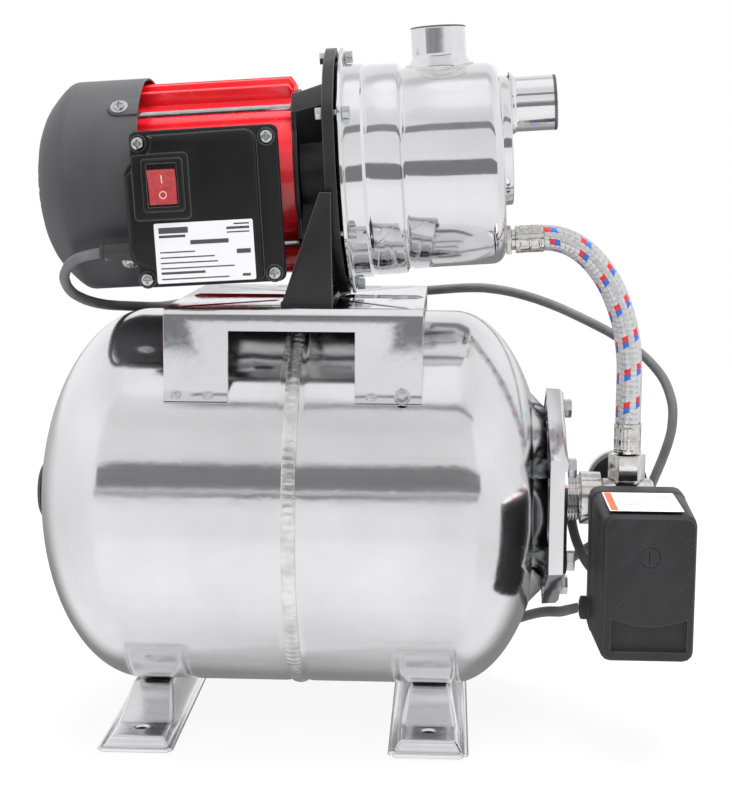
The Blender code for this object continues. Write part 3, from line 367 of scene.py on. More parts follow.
SLOT_PAINTS = {
    "polished_stainless": "pressed",
    "zinc_plated_steel": "zinc",
    "nickel_plated_brass": "nickel",
    "red_paint": "red",
    "black_paint": "black",
    "black_plastic": "gloss_black",
    "dark_grey_plastic": "dark_grey",
    "red_plastic": "rocker",
    "rubber": "rubber",
    "steel_braid": "steel_wire",
    "steel_lamination": "lamination",
}
# The slot of a piece that scene.py adds, from its paint.
PAINT_SLOTS = {paint: slot for slot, paint in SLOT_PAINTS.items()}
PAINT_SLOTS.update(dict.fromkeys(("tank", "casing", "foot", "weld", "cut_edge"), "polished_stainless"))
PAINT_SLOTS.update(dict.fromkeys(("label", "print", "window"), "black_plastic"))
PAINT_SLOTS.update(boot="rubber", mark="red_plastic")
NODE_PAINTS = {
    "pump_mount_bracket": "pressed",
    "air_valve_cap": "cap",
    "motor_cable": "cable",
    "mains_cable": "cable",
    "switch_base": "switch_grey",
    "switch_cover": "switch_grey",
    "cover_screw": "switch_grey",
}
# Width of the edge rounding of each node that shows, in millimetres.
BEVELS = {
    "terminal_box_base": 1.5,
    "rocker_button": 0.6,
    "switch_base": 1.2,
    "switch_cover": 1.1,
    "cover_screw": 0.35,
    "motor_lantern": 0.9,
    "pump_foot": 1.0,
    "motor_housing": 0.45,
    "rear_end_shield": 0.8,
    "pump_mount_bracket": 0.45,
    "tank_counter_flange": 0.5,
    "hose_swivel_nut": 0.6,
    "brass_connector": 0.5,
    "gauge_case": 0.5,
    "gauge_pointer": 0.2,
    "tie_rod": 0.35,
    "casing_bolt": 0.35,
    "tank_flange_bolt": 0.5,
}

# Angles in degrees: edges under the first are shaded smooth, edges over the second are rounded or
# left sharp, and faces that meet within the third count as one flat face.
SMOOTH_UNDER = 32
SHARP_OVER = 38
FLAT_WITHIN = 0.6
SAME_PLACE = 0.005 * MM

# ---------------------------------------------------------------- CAD nodes that stay


def smoothing_nodes():
    """Geometry nodes that shade every edge smooth but the sharp ones."""
    group = bpy.data.node_groups.new("shade_by_angle", "GeometryNodeTree")
    for way in ("INPUT", "OUTPUT"):
        group.interface.new_socket("Geometry", in_out=way, socket_type="NodeSocketGeometry")
    start = group.nodes.new("NodeGroupInput")
    end = group.nodes.new("NodeGroupOutput")
    faces = group.nodes.new("GeometryNodeSetShadeSmooth")
    edges = group.nodes.new("GeometryNodeSetShadeSmooth")
    edges.domain = "EDGE"
    edges.inputs["Shade Smooth"].default_value = False
    angle = group.nodes.new("GeometryNodeInputMeshEdgeAngle")
    over = group.nodes.new("FunctionNodeCompare")
    over.operation = "GREATER_THAN"
    over.inputs[1].default_value = radians(SMOOTH_UNDER)
    joins = (
        (start.outputs[0], faces.inputs["Geometry"]),
        (faces.outputs[0], edges.inputs["Geometry"]),
        (angle.outputs["Unsigned Angle"], over.inputs[0]),
        (over.outputs[0], edges.inputs["Selection"]),
        (edges.outputs[0], end.inputs[0]),
    )
    for source, socket in joins:
        group.links.new(source, socket)
    return group


def bevel_of(node):
    """The rounding width of a node, by how its name begins."""
    for name, width in BEVELS.items():
        if node.startswith(name):
            return width
    return 0.0


def dress_cad_nodes():
    """Gives every CAD node its material, rounded edges and smooth shading."""
    smoothing = smoothing_nodes()
    for row in frame["record"]["subparts"]:
        node = row["node"]
        obj = frame["nodes"][node]
        custom = obj.data.attributes.get("custom_normal")
        if custom:
            obj.data.attributes.remove(custom)
        paint = NODE_PAINTS.get(node, SLOT_PAINTS[row["material_slot"]])
        obj.data.materials.clear()
        obj.data.materials.append(PAINTS[paint])
        weld = obj.modifiers.new("weld", "WELD")
        weld.merge_threshold = SAME_PLACE
        if node in ("motor_cable", "mains_cable"):
            rounder = obj.modifiers.new("rounder", "SUBSURF")
            rounder.levels = rounder.render_levels = 2
        width = bevel_of(node)
        if width:
            flats = obj.modifiers.new("flats", "DECIMATE")
            flats.decimate_type = "DISSOLVE"
            flats.angle_limit = radians(FLAT_WITHIN)
            rounding = obj.modifiers.new("rounding", "BEVEL")
            rounding.width = width * MM
            rounding.segments = 3
            rounding.limit_method = "ANGLE"
            rounding.angle_limit = radians(SHARP_OVER)
            rounding.harden_normals = False
        shade = obj.modifiers.new("shade", "NODES")
        shade.node_group = smoothing


# ---------------------------------------------------------------- mesh tools


def linked(name, data):
    """A new object in the scene."""
    made = bpy.data.objects.new(name, data)
    bpy.context.scene.collection.objects.link(made)
    return made


def put(name, mesh, place, paint, body=ROOT, slot=None, sharp=SHARP_OVER, instead=None):
    """Turns a bmesh in millimetres of the given frame into a piece that rides on a body.

    sharp is the angle from which an edge stays sharp, and instead the CAD node whose place it takes.
    """
    bmesh.ops.recalc_face_normals(mesh, faces=mesh.faces)
    bmesh.ops.transform(mesh, matrix=place, verts=mesh.verts)
    data = bpy.data.meshes.new(name)
    mesh.to_mesh(data)
    mesh.free()
    data.shade_smooth()
    data.set_sharp_from_angle(angle=radians(sharp))
    paints = paint if isinstance(paint, list) else [paint]
    for each in paints:
        data.materials.append(PAINTS[each])
    made = linked(name, data)
    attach(made, body)
    if instead:
        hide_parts(instead)
    return made


def bridge(mesh, rows, closed=True, caps=(), index=0):
    """Faces from row to row of corners, and one over each row that caps names."""
    for one, two in zip(rows, rows[1:]):
        count = len(one)
        for k in range(count if closed else count - 1):
            following = (k + 1) % count
            mesh.faces.new((one[k], one[following], two[following], two[k])).material_index = index
    for row in caps:
        mesh.faces.new(rows[row]).material_index = index


def hexagon(half_width):
    """A hexagon's reach by angle, from half its width over flats."""
    return lambda angle: half_width / cos(radians(angle % 60 - 30))


def value(rule, angle):
    """A number as it is, or a rule's number at the angle."""
    return rule(angle) if callable(rule) else rule


def add_lathe(mesh, profile, steps, turn=None, closed=False, skip=None):
    """Rings about X. A profile point is (along, radius), each a number or a rule of the angle."""
    place = turn or Matrix.Identity(4)
    rings = []
    for level, radius in profile:
        if radius == 0:
            rings.append([mesh.verts.new(place @ Vector((level, 0, 0)))])
            continue
        ring = []
        for k in range(steps):
            angle = 360.0 * k / steps
            reach = value(radius, angle)
            spot = Vector((value(level, angle), 0, 0))
            spot.y = reach * cos(radians(angle))
            spot.z = reach * sin(radians(angle))
            ring.append(mesh.verts.new(place @ spot))
        rings.append(ring)
    pairs = list(zip(rings, rings[1:]))
    if closed:
        pairs.append((rings[-1], rings[0]))
    for row, (one, two) in enumerate(pairs):
        for k in range(steps):
            if skip and skip(row, 360.0 * (k + 0.5) / steps):
                continue
            following = (k + 1) % steps
            if len(one) == 1:
                mesh.faces.new((one[0], two[following], two[k]))
            elif len(two) == 1:
                mesh.faces.new((one[k], one[following], two[0]))
            else:
                mesh.faces.new((one[k], one[following], two[following], two[k]))


def lathe(name, profile, place, paint, steps=96, at=(0, 0, 0), axis="X", closed=False, **settings):
    """A turned piece. axis is a letter or a matrix that turns X to the piece's own axis."""
    turns = {
        "X": Matrix.Identity(4),
        "Y": Matrix.Rotation(radians(90), 4, "Z"),
        "-Y": Matrix.Rotation(radians(-90), 4, "Z"),
        "Z": Matrix.Rotation(radians(-90), 4, "Y"),
    }
    mesh = bmesh.new()
    turn = axis if isinstance(axis, Matrix) else turns[axis]
    add_lathe(mesh, profile, steps, Matrix.Translation(Vector(at)) @ turn, closed)
    return put(name, mesh, place, paint, **settings)


def dome(start, depth, radius, stop_radius, steps):
    """An elliptic dome's profile, from its rim in to a stop radius."""
    last = acos(stop_radius / radius)
    turns = [last * k / steps for k in range(1, steps + 1)]
    return [(start + depth * sin(a), radius * cos(a)) for a in turns]


def ears(radius, height, half_width):
    """A rim's radius by angle: smooth bumps at the bolt places."""

    def rule(angle):
        away = min(abs((angle - ear + 180) % 360 - 180) for ear in EARS)
        if away >= half_width:
            return radius
        return radius + height * 0.5 * (1 + cos(pi * away / half_width))

    return rule


def offset(rule, by):
    return lambda angle: rule(angle) + by


def outline_box(low_a, high_a, low_b, high_b, corner, steps=5):
    """A rounded rectangle as a list of points."""
    points = []
    centres = [
        (high_a - corner, high_b - corner, 0),
        (low_a + corner, high_b - corner, 90),
        (low_a + corner, low_b + corner, 180),
        (high_a - corner, low_b + corner, 270),
    ]
    for a, b, first in centres:
        for k in range(steps):
            turn = radians(first + 90 * k / (steps - 1))
            points.append((a + corner * cos(turn), b + corner * sin(turn)))
    return points


def add_plate(mesh, outline, low, high, axes=(0, 2, 1), edge=0.0, index=0):
    """A flat piece with a thickness. axes says which coordinates the outline and the level fill."""
    centre = Vector((sum(p[0] for p in outline), sum(p[1] for p in outline))) / len(outline)
    levels = [(low, 0.0), (high, edge)]
    if edge:
        levels.insert(1, (high - copysign(edge, high - low), 0.0))
    rings = []
    for level, inset in levels:
        ring = []
        for a, b in outline:
            away = Vector((a, b)) - centre
            spot = centre + away * (1 - inset / max(away.length, 1e-6))
            point = [0, 0, 0]
            point[axes[0]], point[axes[1]], point[axes[2]] = spot.x, spot.y, level
            ring.append(mesh.verts.new(point))
        rings.append(ring)
    bridge(mesh, rings, caps=(0, -1), index=index)


def inset_outline(points, inset):
    """The outline moved inwards by the same distance everywhere."""
    turns = sum(a.x * b.y - b.x * a.y for a, b in zip(points, points[1:] + points[:1]))
    inward = 1.0 if turns > 0 else -1.0
    moved = []
    for k, here in enumerate(points):
        back = (here - points[k - 1]).normalized()
        ahead = (points[(k + 1) % len(points)] - here).normalized()
        first = Vector((-back.y, back.x)) * inward
        second = Vector((-ahead.y, ahead.x)) * inward
        middle = (first + second).normalized()
        moved.append(here + middle * inset / max(0.6, middle.dot(first)))
    return moved


def add_soft_plate(mesh, outline, low, high, radius, hole=None):
    """A plate in the pump frame, along -Y, whose front edge is rounded. hole is an inner outline."""
    steps = 4
    outline = [Vector(p) for p in outline]
    levels = [(low, 0.0)]
    for k in range(steps + 1):
        turn = radians(90 * k / steps)
        levels.append((high + radius * (1 - sin(turn)), radius * (1 - cos(turn))))
    rings = []
    for level, inset in levels:
        rings.append([mesh.verts.new((p.x, level, p.y)) for p in inset_outline(outline, inset)])
    if hole:
        for level in (high, low):
            rings.append([mesh.verts.new((a, level, b)) for a, b in hole])
    bridge(mesh, rings, caps=() if hole else (-1,))


# ---------------------------------------------------------------- vessel


def weld_ripples(height, count, wobble):
    """A bead's height by angle: overlapping scales, like a row of coins pushed over."""

    def rule(angle):
        scale = (angle * count / 360.0) % 1.0
        slow = sin(radians(angle * 7)) + sin(radians(angle * 17 + 40))
        return TANK_RADIUS + height * (0.72 + 0.28 * scale) + wobble * slow

    return rule


def vessel():
    """Two pressed shells, each rolled in a little beside the seam, and the bead between them."""
    straight_left = -115.0
    straight_right = 110.0
    lip = [(-0.4, TANK_RADIUS - 1.0), (-5.6, TANK_RADIUS - 0.9), (-7.4, TANK_RADIUS - 0.35)]
    left = lip + [(-10.0, TANK_RADIUS), (-60.0, TANK_RADIUS), (straight_left, TANK_RADIUS)]
    left += [(straight_left - a, r) for a, r in dome(0, LEFT_POLE + straight_left, TANK_RADIUS, 5.0, 30)]
    lathe("vessel_shell_left", left, VESSEL, "tank", 160, instead="tank_shell_left")

    right = [(-x, r) for x, r in lip]
    right += [(10.0, TANK_RADIUS), (60.0, TANK_RADIUS), (straight_right, TANK_RADIUS)]
    right += [(straight_right + a, r) for a, r in dome(0, 68.7, TANK_RADIUS, 78.0, 22)]
    neck = 57.0
    rim = ears(66.5, 12.0, 17.0)
    right += [(176.5, 68.0), (178.0, 60.0), (178.6, neck), (182.4, neck), (182.5, offset(rim, -0.5))]
    right += [(183.0, rim), (MOUTH - 0.5, rim), (MOUTH, offset(rim, -0.5)), (MOUTH, neck - 1.5)]
    lathe("vessel_shell_right", right, VESSEL, "tank", 160, instead="tank_shell_right")

    half = [(4.9, TANK_RADIUS - 1.2), (4.7, TANK_RADIUS + 0.2), (3.6, weld_ripples(0.9, 150, 0.03))]
    half += [(2.2, weld_ripples(1.3, 150, 0.05)), (0.8, weld_ripples(1.6, 150, 0.07))]
    bead = [(-x, rule) for x, rule in half] + list(reversed(half))
    lathe("vessel_weld_bead", bead, VESSEL, "weld", 600)


def nipple_thread():
    """The parallel thread of the flange's nipple, as a helix of crests."""
    mesh = bmesh.new()
    start, pitch, turns, steps = 193.0, 2.3, 4.6, 48
    root, crest, run_out = 16.3, 17.5, 20
    section = [(-1.0, root), (-0.2, crest), (0.2, crest), (1.0, root)]
    rows = []
    for k in range(int(turns * steps) + 1):
        turn = radians(360.0 * k / steps)
        fade = min(1.0, k / run_out, (turns * steps - k) / run_out + 0.05)
        row = []
        for x, r in section:
            reach = root + (r - root) * fade
            level = start + pitch * k / steps + x
            row.append(mesh.verts.new((level, reach * cos(turn), reach * sin(turn))))
        rows.append(row)
    bridge(mesh, rows, closed=False)
    put("nipple_thread", mesh, VESSEL, "nickel", sharp=70)


def bracket_details():
    """Spot welds and an earth screw on both lips, and the stiffening ribs pressed in the top."""
    middle, low = 107.6, 256.0
    for end, face in (("front", -1), ("back", 1)):
        # Both lips lie along the vessel's round side.
        outward = Vector((0, 0.765 * face, 0.644))
        lean = Vector((1, 0, 0)).rotation_difference(outward).to_matrix().to_4x4()
        spot = Vector((0, middle * face, low))
        for k, x in enumerate((-78.5, -56.5, 54.0)):
            dimple = [(0.25, 0), (0.3, 1.0), (0.9, 1.7), (1.0, 2.1), (0.35, 2.7), (0.3, 3.3)]
            dimple += [(0.6, 3.6), (-0.4, 4.2)]
            at = spot + Vector((x, 0, 0))
            name = f"spot_weld_{end}_{k + 1}"
            lathe(name, dimple, FLOOR, "zinc", 24, at, lean, slot="polished_stainless")
        head = hexagon(3.9)
        screw = [(3.2, 0), (3.7, offset(head, -0.7)), (3.2, head), (0.9, head), (0.8, 5.6), (-0.5, 5.8)]
        at = spot + Vector((75.0, 0.5 * face, 0.6))
        lathe(f"earth_screw_{end}", screw, FLOOR, "zinc", 48, at, lean)

    box_low, box_high = box_mm("pump_mount_bracket")
    top = box_high.z
    foot_low, foot_high = box_mm("pump_foot")
    left, right = box_low.x - SEAM_X, box_high.x - SEAM_X
    foot_left, foot_right = foot_low.x - SEAM_X, foot_high.x - SEAM_X
    ribs = [((left + 6, -6), (foot_left - 2, -6), 3.2, 1.9)]
    ribs += [((foot_right + 2, -6), (right - 1, -6), 3.2, 1.9)]
    for face in (-1, 1):
        ribs.append(((left + 9, 95 * face), (foot_left - 6, 38 * face), 1.3, 0.7))
        ribs.append(((right - 9, 95 * face), (foot_right + 4, 38 * face), 1.3, 0.7))
    mesh = bmesh.new()
    for start, stop, half, height in ribs:
        add_rib(mesh, Vector(start), Vector(stop), half, top, height)
    put("bracket_ribs", mesh, FLOOR, "pressed", sharp=60)


def add_rib(mesh, start, stop, half, level, height):
    """A pressed rib with a rounded section and faded ends."""
    ahead = (stop - start).normalized()
    across = Vector((-ahead.y, ahead.x))
    length = (stop - start).length
    rows = []
    for distance, share in ((0, 0), (2, 0.6), (5, 1), (length - 5, 1), (length - 2, 0.6), (length, 0)):
        spot = start + ahead * distance
        row = []
        for k in range(7):
            turn = radians(180 * k / 6)
            side = spot + across * half * cos(turn) * (0.4 + 0.6 * share)
            row.append(mesh.verts.new((side.x, side.y, level - 0.05 + height * share * sin(turn))))
        rows.append(row)
    bridge(mesh, rows, closed=False)


def ease(value, low, high):
    """0 below low, 1 above high, and a smooth rise between."""
    share = max(0.0, min(1.0, (value - low) / (high - low)))
    return share * share * (3 - 2 * share)


def foot_skin(node):
    """A pressed foot: a rolled rim, a platform with soft walls, a ridge under the vessel, two holes."""
    low, high = box_mm(node)
    centre = (low.x + high.x) / 2 - SEAM_X
    half_x, half_y = (high.x - low.x) / 2, high.y
    sheet, platform, ridge = 2.0, 6.0, 25.2
    ridge_top, ridge_end, border = 24.0, 68.0, 3.5
    hole_y, hole = 74.7, 4.5
    count_x, count_y = 44, 150
    corner = 5.0

    def height(x, y):
        rise = platform + (ridge - platform) * (1 - ease(abs(y), ridge_top, ridge_end))
        run = 4.0 + 0.25 * rise
        side = 1 - ease(abs(x), half_x - border - run, half_x - border)
        end = 1 - ease(abs(y), half_y - 2 * border - 5.5, half_y - 2 * border)
        edge = min(half_x - abs(x), half_y - abs(y))
        rim = 1.3 * exp(-(((edge - 1.9) / 1.2) ** 2))
        curl = -1.2 * (1 - ease(edge, 0.0, 1.4))
        return sheet + rise * min(side, end) + rim + curl

    mesh = bmesh.new()
    grid = []
    for j in range(count_y + 1):
        row = []
        for k in range(count_x + 1):
            x, y = half_x * (2 * k / count_x - 1), half_y * (2 * j / count_y - 1)
            over_x, over_y = abs(x) - half_x + corner, abs(y) - half_y + corner
            if over_x > 0 and over_y > 0:
                shrink = max(over_x, over_y) / hypot(over_x, over_y)
                x = copysign(half_x - corner + over_x * shrink, x)
                y = copysign(half_y - corner + over_y * shrink, y)
            row.append(mesh.verts.new((centre + x, y, height(x, y))))
        grid.append(row)
    bridge(mesh, grid, closed=False)
    for y in (-hole_y, hole_y):
        spot = Vector((centre, y))
        inside = [f for f in mesh.faces if (f.calc_center_median().xy - spot).length < hole]
        bmesh.ops.delete(mesh, geom=inside, context="FACES")
        rim = [v for v in mesh.verts if v.is_boundary and (v.co.xy - spot).length < hole + 2]
        for vert in rim:
            vert.co.xy = spot + (vert.co.xy - spot).normalized() * hole
    loose = [v for v in mesh.verts if not v.link_faces]
    bmesh.ops.delete(mesh, geom=loose, context="VERTS")
    piece = put(node + "_skin", mesh, FLOOR, "foot", sharp=60)
    wall = piece.modifiers.new("wall", "SOLIDIFY")
    wall.thickness = 1.6 * MM
    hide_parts(node)


# ---------------------------------------------------------------- pump and motor


def casing():
    """The pressed casing with its two beads, its eared flange and the raised face round the inlet."""
    flange = ears(85.0, 3.5, 14.0)
    end, corner = CASING_END, 10
    body = [(end, 0.0), (end, CASING_RADIUS - corner)]
    body += arc((end - corner, CASING_RADIUS - corner), corner, 10, 90)
    body += [(80.0, CASING_RADIUS + 0.1), (51.6, 72.1), (50.4, 71.4), (49.2, 71.2), (48.0, 71.8)]
    body += [(46.6, 74.6), (45.0, 75.2), (25.6, 75.4), (24.4, 74.9), (23.0, 74.6), (21.8, 75.4)]
    body += [(20.8, 76.5), (10.6, 76.8), (9.2, 77.4), (8.7, 79.0), (8.6, offset(flange, -0.9))]
    body += [(8.3, offset(flange, -0.3)), (7.7, flange), (6.2, flange), (5.7, offset(flange, -0.5))]
    body += [(5.6, 75.3)]
    lathe("pump_casing_skin", body, PUMP, "casing", 180, instead="pump_casing")

    boss = [(end - 1.0, 47.6), (end + 0.6, 46.8), (end + 2.0, 46.2), (124.0, 46.0), (124.7, 45.4)]
    boss += [(125.0, 44.0), (125.0, 22.0), (125.0, 0.0)]
    lathe("casing_end_boss", boss, PUMP, "casing", 120, (0, 0, 16.0))
    ring = [(125.0, 23.0), (125.9, 22.9), (126.6, 22.2), (126.8, 21.0)]
    lathe("suction_weld", ring, PUMP, "weld", 72, (0, 0, SUCTION_W))
    sockets()


def sockets():
    """Both sockets with a flared foot and straight walls, and the rough cut band round each rim."""
    low, high = box_mm("suction_socket")
    suction = (PUMP.inverted() @ (Vector((high.x, 0, (low.z + high.z) / 2)) * MM)).x
    low, high = box_mm("discharge_socket")
    discharge = (PUMP.inverted() @ (Vector(((low.x + high.x) / 2, 0, high.z)) * MM)).z
    # The boxes reach beyond the rims because the pump leans.
    lean = 1.2
    flare = [(0, 23.6), (6.0, 23.4), (7.6, 22.9), (9.0, 22.1), (10.6, 21.2), (12.2, 20.3), (13.4, 19.75)]
    flare += [(14.6, 19.53), (15.8, 19.5)]
    foot = [(0, 21.4), (2.2, 21.0), (3.0, 20.4), (3.6, 19.85), (4.3, 19.56), (5.2, 19.5)]
    jobs = (
        ("suction", suction - lean, 125.4, foot, (0, 0, SUCTION_W), "X", 1.0),
        ("discharge", discharge - lean, 64.0, flare, (DISCHARGE_U, 0, 0), "Z", 0.5),
    )
    for name, rim, base, start, at, axis, share in jobs:
        profile = [(base + level, reach) for level, reach in start]
        profile += [(rim - 2.0, 19.5), (rim - 0.8, 19.5), (rim - 0.25, 19.3), (rim, 18.9), (rim, 15.7)]
        profile += [(rim - 0.5, 15.2), (rim - 2.0, 15.2), (base, 15.2)]
        node = name + "_socket"
        lathe(node + "_skin", profile, PUMP, "casing", 120, at, axis, instead=node)
        band = [(-2.6, 19.45), (-2.4, 19.62), (-0.75, 19.62), (-0.12, 19.1)]
        edge = [(rim + level * share, reach) for level, reach in band]
        lathe(node + "_edge", edge, PUMP, "cut_edge", 96, at, axis)


def saddle_weld():
    """The bead where the discharge socket meets the round casing."""
    mesh = bmesh.new()
    rows = []
    steps = 120
    for k in range(steps):
        turn = 2 * pi * k / steps
        row = []
        for reach, lift in ((24.9, -0.2), (24.6, 0.5), (24.0, 1.0), (23.3, 1.3), (22.6, 1.0)):
            grow = 0.12 * sin(turn * 36)
            u = DISCHARGE_U + (reach + grow) * cos(turn)
            v = (reach + grow) * sin(turn)
            row.append(mesh.verts.new((u, v, sqrt(CASING_RADIUS**2 - v * v) + lift)))
        rows.append(row)
    bridge(mesh, rows + rows[:1], closed=False)
    put("discharge_weld", mesh, PUMP, "weld")


def fan_cover():
    """A turned skin with radial air slots in its end, and an eared fixing screw over each tie rod."""
    rim = -133.0
    profile = [(rim, 74.4), (rim - 0.6, 75.0), (-141.0, 75.0), (-150.0, 75.0), (-168.0, 75.0)]
    profile += [(-183.0, 75.0), (-185.5, 74.6), (-188.0, 73.4), (-191.5, 70.6), (-196.5, 65.6)]
    profile += [(-201.5, 60.0), (-205.0, 55.0), (-207.6, 50.0), (-209.4, 46.0), (-211.8, 38.0)]
    profile += [(-213.6, 29.0), (-214.8, 20.0), (-216.2, 10.0), (-216.8, 0.0)]
    slot_rows = [k for k, (_, radius) in enumerate(profile) if 20.0 < radius <= 46.0]
    pitch, half_slot = 15, 2.5

    def gap(row, angle):
        return row in slot_rows and abs((angle + pitch / 2) % pitch - pitch / 2) < half_slot

    mesh = bmesh.new()
    add_lathe(mesh, profile, 144, skip=gap)
    piece = put("fan_cover_skin", mesh, PUMP, "dark_grey")
    wall = piece.modifiers.new("wall", "SOLIDIFY")
    wall.thickness = 2.2 * MM
    wall.offset = -1.0
    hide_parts("fan_cover")

    screw_u = -146.5
    for k, angle in enumerate((45, 135, 225, 315)):
        turn = Matrix.Rotation(radians(angle), 4, "X")
        mesh = bmesh.new()
        add_ear(mesh, turn)
        put(f"fan_cover_ear_{k + 1}", mesh, PUMP, "dark_grey", sharp=50)
        lean = turn @ Matrix.Rotation(radians(90), 4, "Z")
        at = turn @ Vector((screw_u, 75.9, 0))
        washer = [(0.0, 0.0), (0.9, 5.6), (0.7, 6.1), (-0.8, 6.1)]
        lathe(f"cover_washer_{k + 1}", washer, PUMP, "zinc", 40, at, lean)
        cross_screw(f"cover_fixing_{k + 1}", PUMP, turn @ Vector((screw_u, 76.8, 0)), lean, 4.1)


def add_ear(mesh, turn):
    """A raised oblong pad on the cover's rim that ends in a half round behind the screw."""
    radius, length, half, start = 75.0, 14.0, 7.6, -133.2
    outline = [(start, -half), (start, half), *arc((start - length, 0), half, 90, 270, 12)]
    outline = [Vector(p) for p in outline]
    rings = []
    for rise, inset in ((-1.0, 0.0), (0.7, 0.0), (1.1, 0.3), (1.3, 1.0)):
        ring = []
        for p in inset_outline(outline, inset):
            swing = p.y / radius
            reach = radius + rise
            spot = Vector((p.x, reach * cos(swing), reach * sin(swing)))
            ring.append(mesh.verts.new(turn @ spot))
        rings.append(ring)
    bridge(mesh, rings, caps=(-1,))


def cross_screw(name, place, at, axis, head):
    """A pan-head screw with a cross recess. head is its radius, axis as for lathe."""
    arm = head * 0.62

    def sunk(reach):
        def rule(angle):
            away = abs((angle + 45) % 90 - 45)
            inside = away * pi / 180 * reach < 0.42
            return head * 0.5 - (head * 0.33 if inside else 0.02 * reach)

        return rule

    profile = [(head * 0.1, 0.0), (head * 0.12, head * 0.12), (sunk(head * 0.25), head * 0.25)]
    profile += [(sunk(head * 0.45), head * 0.45), (sunk(arm), arm), (head * 0.46, arm * 1.08)]
    profile += [(head * 0.40, head * 0.82), (head * 0.25, head * 0.95), (0.1, head), (-0.6, head)]
    lathe(name, profile, place, "zinc", 64, at, axis)


def arc(centre, radius, first, last, steps=8):
    """Points of an arc, with its angles in degrees."""
    turns = [radians(first + (last - first) * k / steps) for k in range(steps + 1)]
    return [(centre[0] + radius * cos(t), centre[1] + radius * sin(t)) for t in turns]


def terminal_box_cover():
    """The cover in layers with soft edges: plate, plateau round the left screws, rocker frame, bezel."""
    right, top, bottom, left = -33.6, 35.5, -69.7, -134.0
    corner, bulge = 5, 5.0
    plate = arc((right - corner, top - corner), corner, 90, 0)
    plate += arc((right - corner, bottom + corner), corner, 0, -90)
    plate += arc((left + corner, bottom + corner), corner, -90, -180)
    plate += [(left, -55.0), (left - bulge * 0.6, -52.0), (left - bulge, -48.0)]
    plate += [(left - bulge, 8.0), (left - bulge * 0.6, 12.0), (left, 15.0)]
    plate += arc((left + corner, top - corner), corner, 180, 90)
    mesh = bmesh.new()
    add_soft_plate(mesh, plate, -88.3, -94.0, 1.8)

    upper, lower = BOX_SCREWS[0], BOX_SCREWS[2]
    plateau = arc((-56.0, top - 10.5), 8, 90, 0) + arc((-51.5, bottom + 6.0), 3.5, 0, -90, 4)
    plateau += arc(lower, 8.2, -10, 95) + [(left - 1.0, -51.0)]
    plateau += arc((left + 0.5, -44.0), 3.6, 215, 180, 3) + arc((left + 2.5, 4.0), 5.6, 180, 115, 5)
    plateau += arc(upper, 8.6, -100, 35)
    add_soft_plate(mesh, plateau, -93.5, -100.0, 2.4)

    u, _, w = ROCKER
    frame = outline_box(u - 20.5, u + 17.5, w - 23.0, w + 21.0, 3.0)
    add_soft_plate(mesh, frame, -99.5, -101.4, 0.9)
    bezel = outline_box(u - 13.8, u + 13.8, w - 17.6, w + 17.6, 2.4)
    opening = outline_box(u - 10.2, u + 10.2, w - 14.4, w + 14.4, 0.5)
    add_soft_plate(mesh, bezel, -100.5, -104.0, 1.1, hole=opening)
    put("terminal_cover_skin", mesh, PUMP, "gloss_black", sharp=40, instead="terminal_box_cover")


def terminal_box_details():
    """The box's screws in their seats, the blank rating plate, the rocker's marks and the cable boot."""
    for k, (u, w) in enumerate(BOX_SCREWS):
        cross_screw(f"box_screw_{k + 1}", PUMP, (u, -94.6, w), "-Y", 4.5)
        seat = [(94.2, 6.2), (94.9, 5.9), (94.9, 5.0), (94.2, 4.7)]
        lathe(f"box_screw_seat_{k + 1}", seat, PUMP, "gloss_black", 40, (u, 0, w), "-Y")

    mesh = bmesh.new()
    add_plate(mesh, outline_box(-120.0, -53.0, -67.0, -26.5, 1.2), -99.9, -100.25, edge=0.08)
    face = -100.27
    # Generic print: a framed blank field and rows of bars where a rating plate has its lines.
    rows = [(-117.0, -97.0, -33.5, -29.5), (-117.0, -99.0, -36.4, -34.6), (-96.0, -70.0, -41.5, -38.6)]
    rows += [(-66.0, -55.5, -29.6, -28.6), (-71.0, -55.5, -32.6, -30.9), (-71.0, -55.5, -35.0, -34.1)]
    rows += [(-65.0, -55.5, -49.0, -46.0), (-62.0, -56.5, -64.4, -62.6)]
    for k, length in enumerate((24.0, 37.0, 39.0, 50.0, 30.0, 46.0)):
        level = -46.6 - 3.6 * k
        rows.append((-117.0, -117.0 + length, level, level + (1.7 if k == 4 else 0.9)))
    for low_u, high_u, low_w, high_w in rows:
        add_plate(mesh, outline_box(low_u, high_u, low_w, high_w, 0.3, 3), face + 0.1, face - 0.02, index=1)
    put("rating_plate", mesh, PUMP, ["label", "print"])

    mesh = bmesh.new()
    add_plate(mesh, outline_box(-0.45, 0.45, 2.4, 8.0, 0.2, 3), 0.4, -0.12, edge=0.05)
    ring = [(0.4, 2.6), (-0.12, 2.6), (-0.12, 1.95), (0.4, 1.95)]
    place = Matrix.Translation(Vector((0, 0, -5.4))) @ Matrix.Rotation(radians(90), 4, "Z")
    add_lathe(mesh, ring, 40, place, closed=True)
    tilt = Matrix.Translation(ROCKER) @ Matrix.Rotation(radians(10), 4, "X")
    # The rocker's two faces lean 8.5 degrees from its middle, so each mark lies along its own face.
    for vert in mesh.verts:
        vert.co.y -= 6.0 + max(0.0, abs(vert.co.z) - 2.0) * 0.15
    put("rocker_marks", mesh, PUMP @ tilt, "mark", "rocker")

    boot = [(-132.2, 5.0), (-132.6, 7.0), (-133.8, 7.3), (-135.2, 6.9), (-158.4, 6.1), (-158.8, 6.5)]
    boot += [(-160.8, 6.6), (-161.4, 6.0), (-161.4, 3.6)]
    lathe("cable_boot", boot, PUMP, "boot", 48, (0, -80.0, -44.5))


# ---------------------------------------------------------------- hose


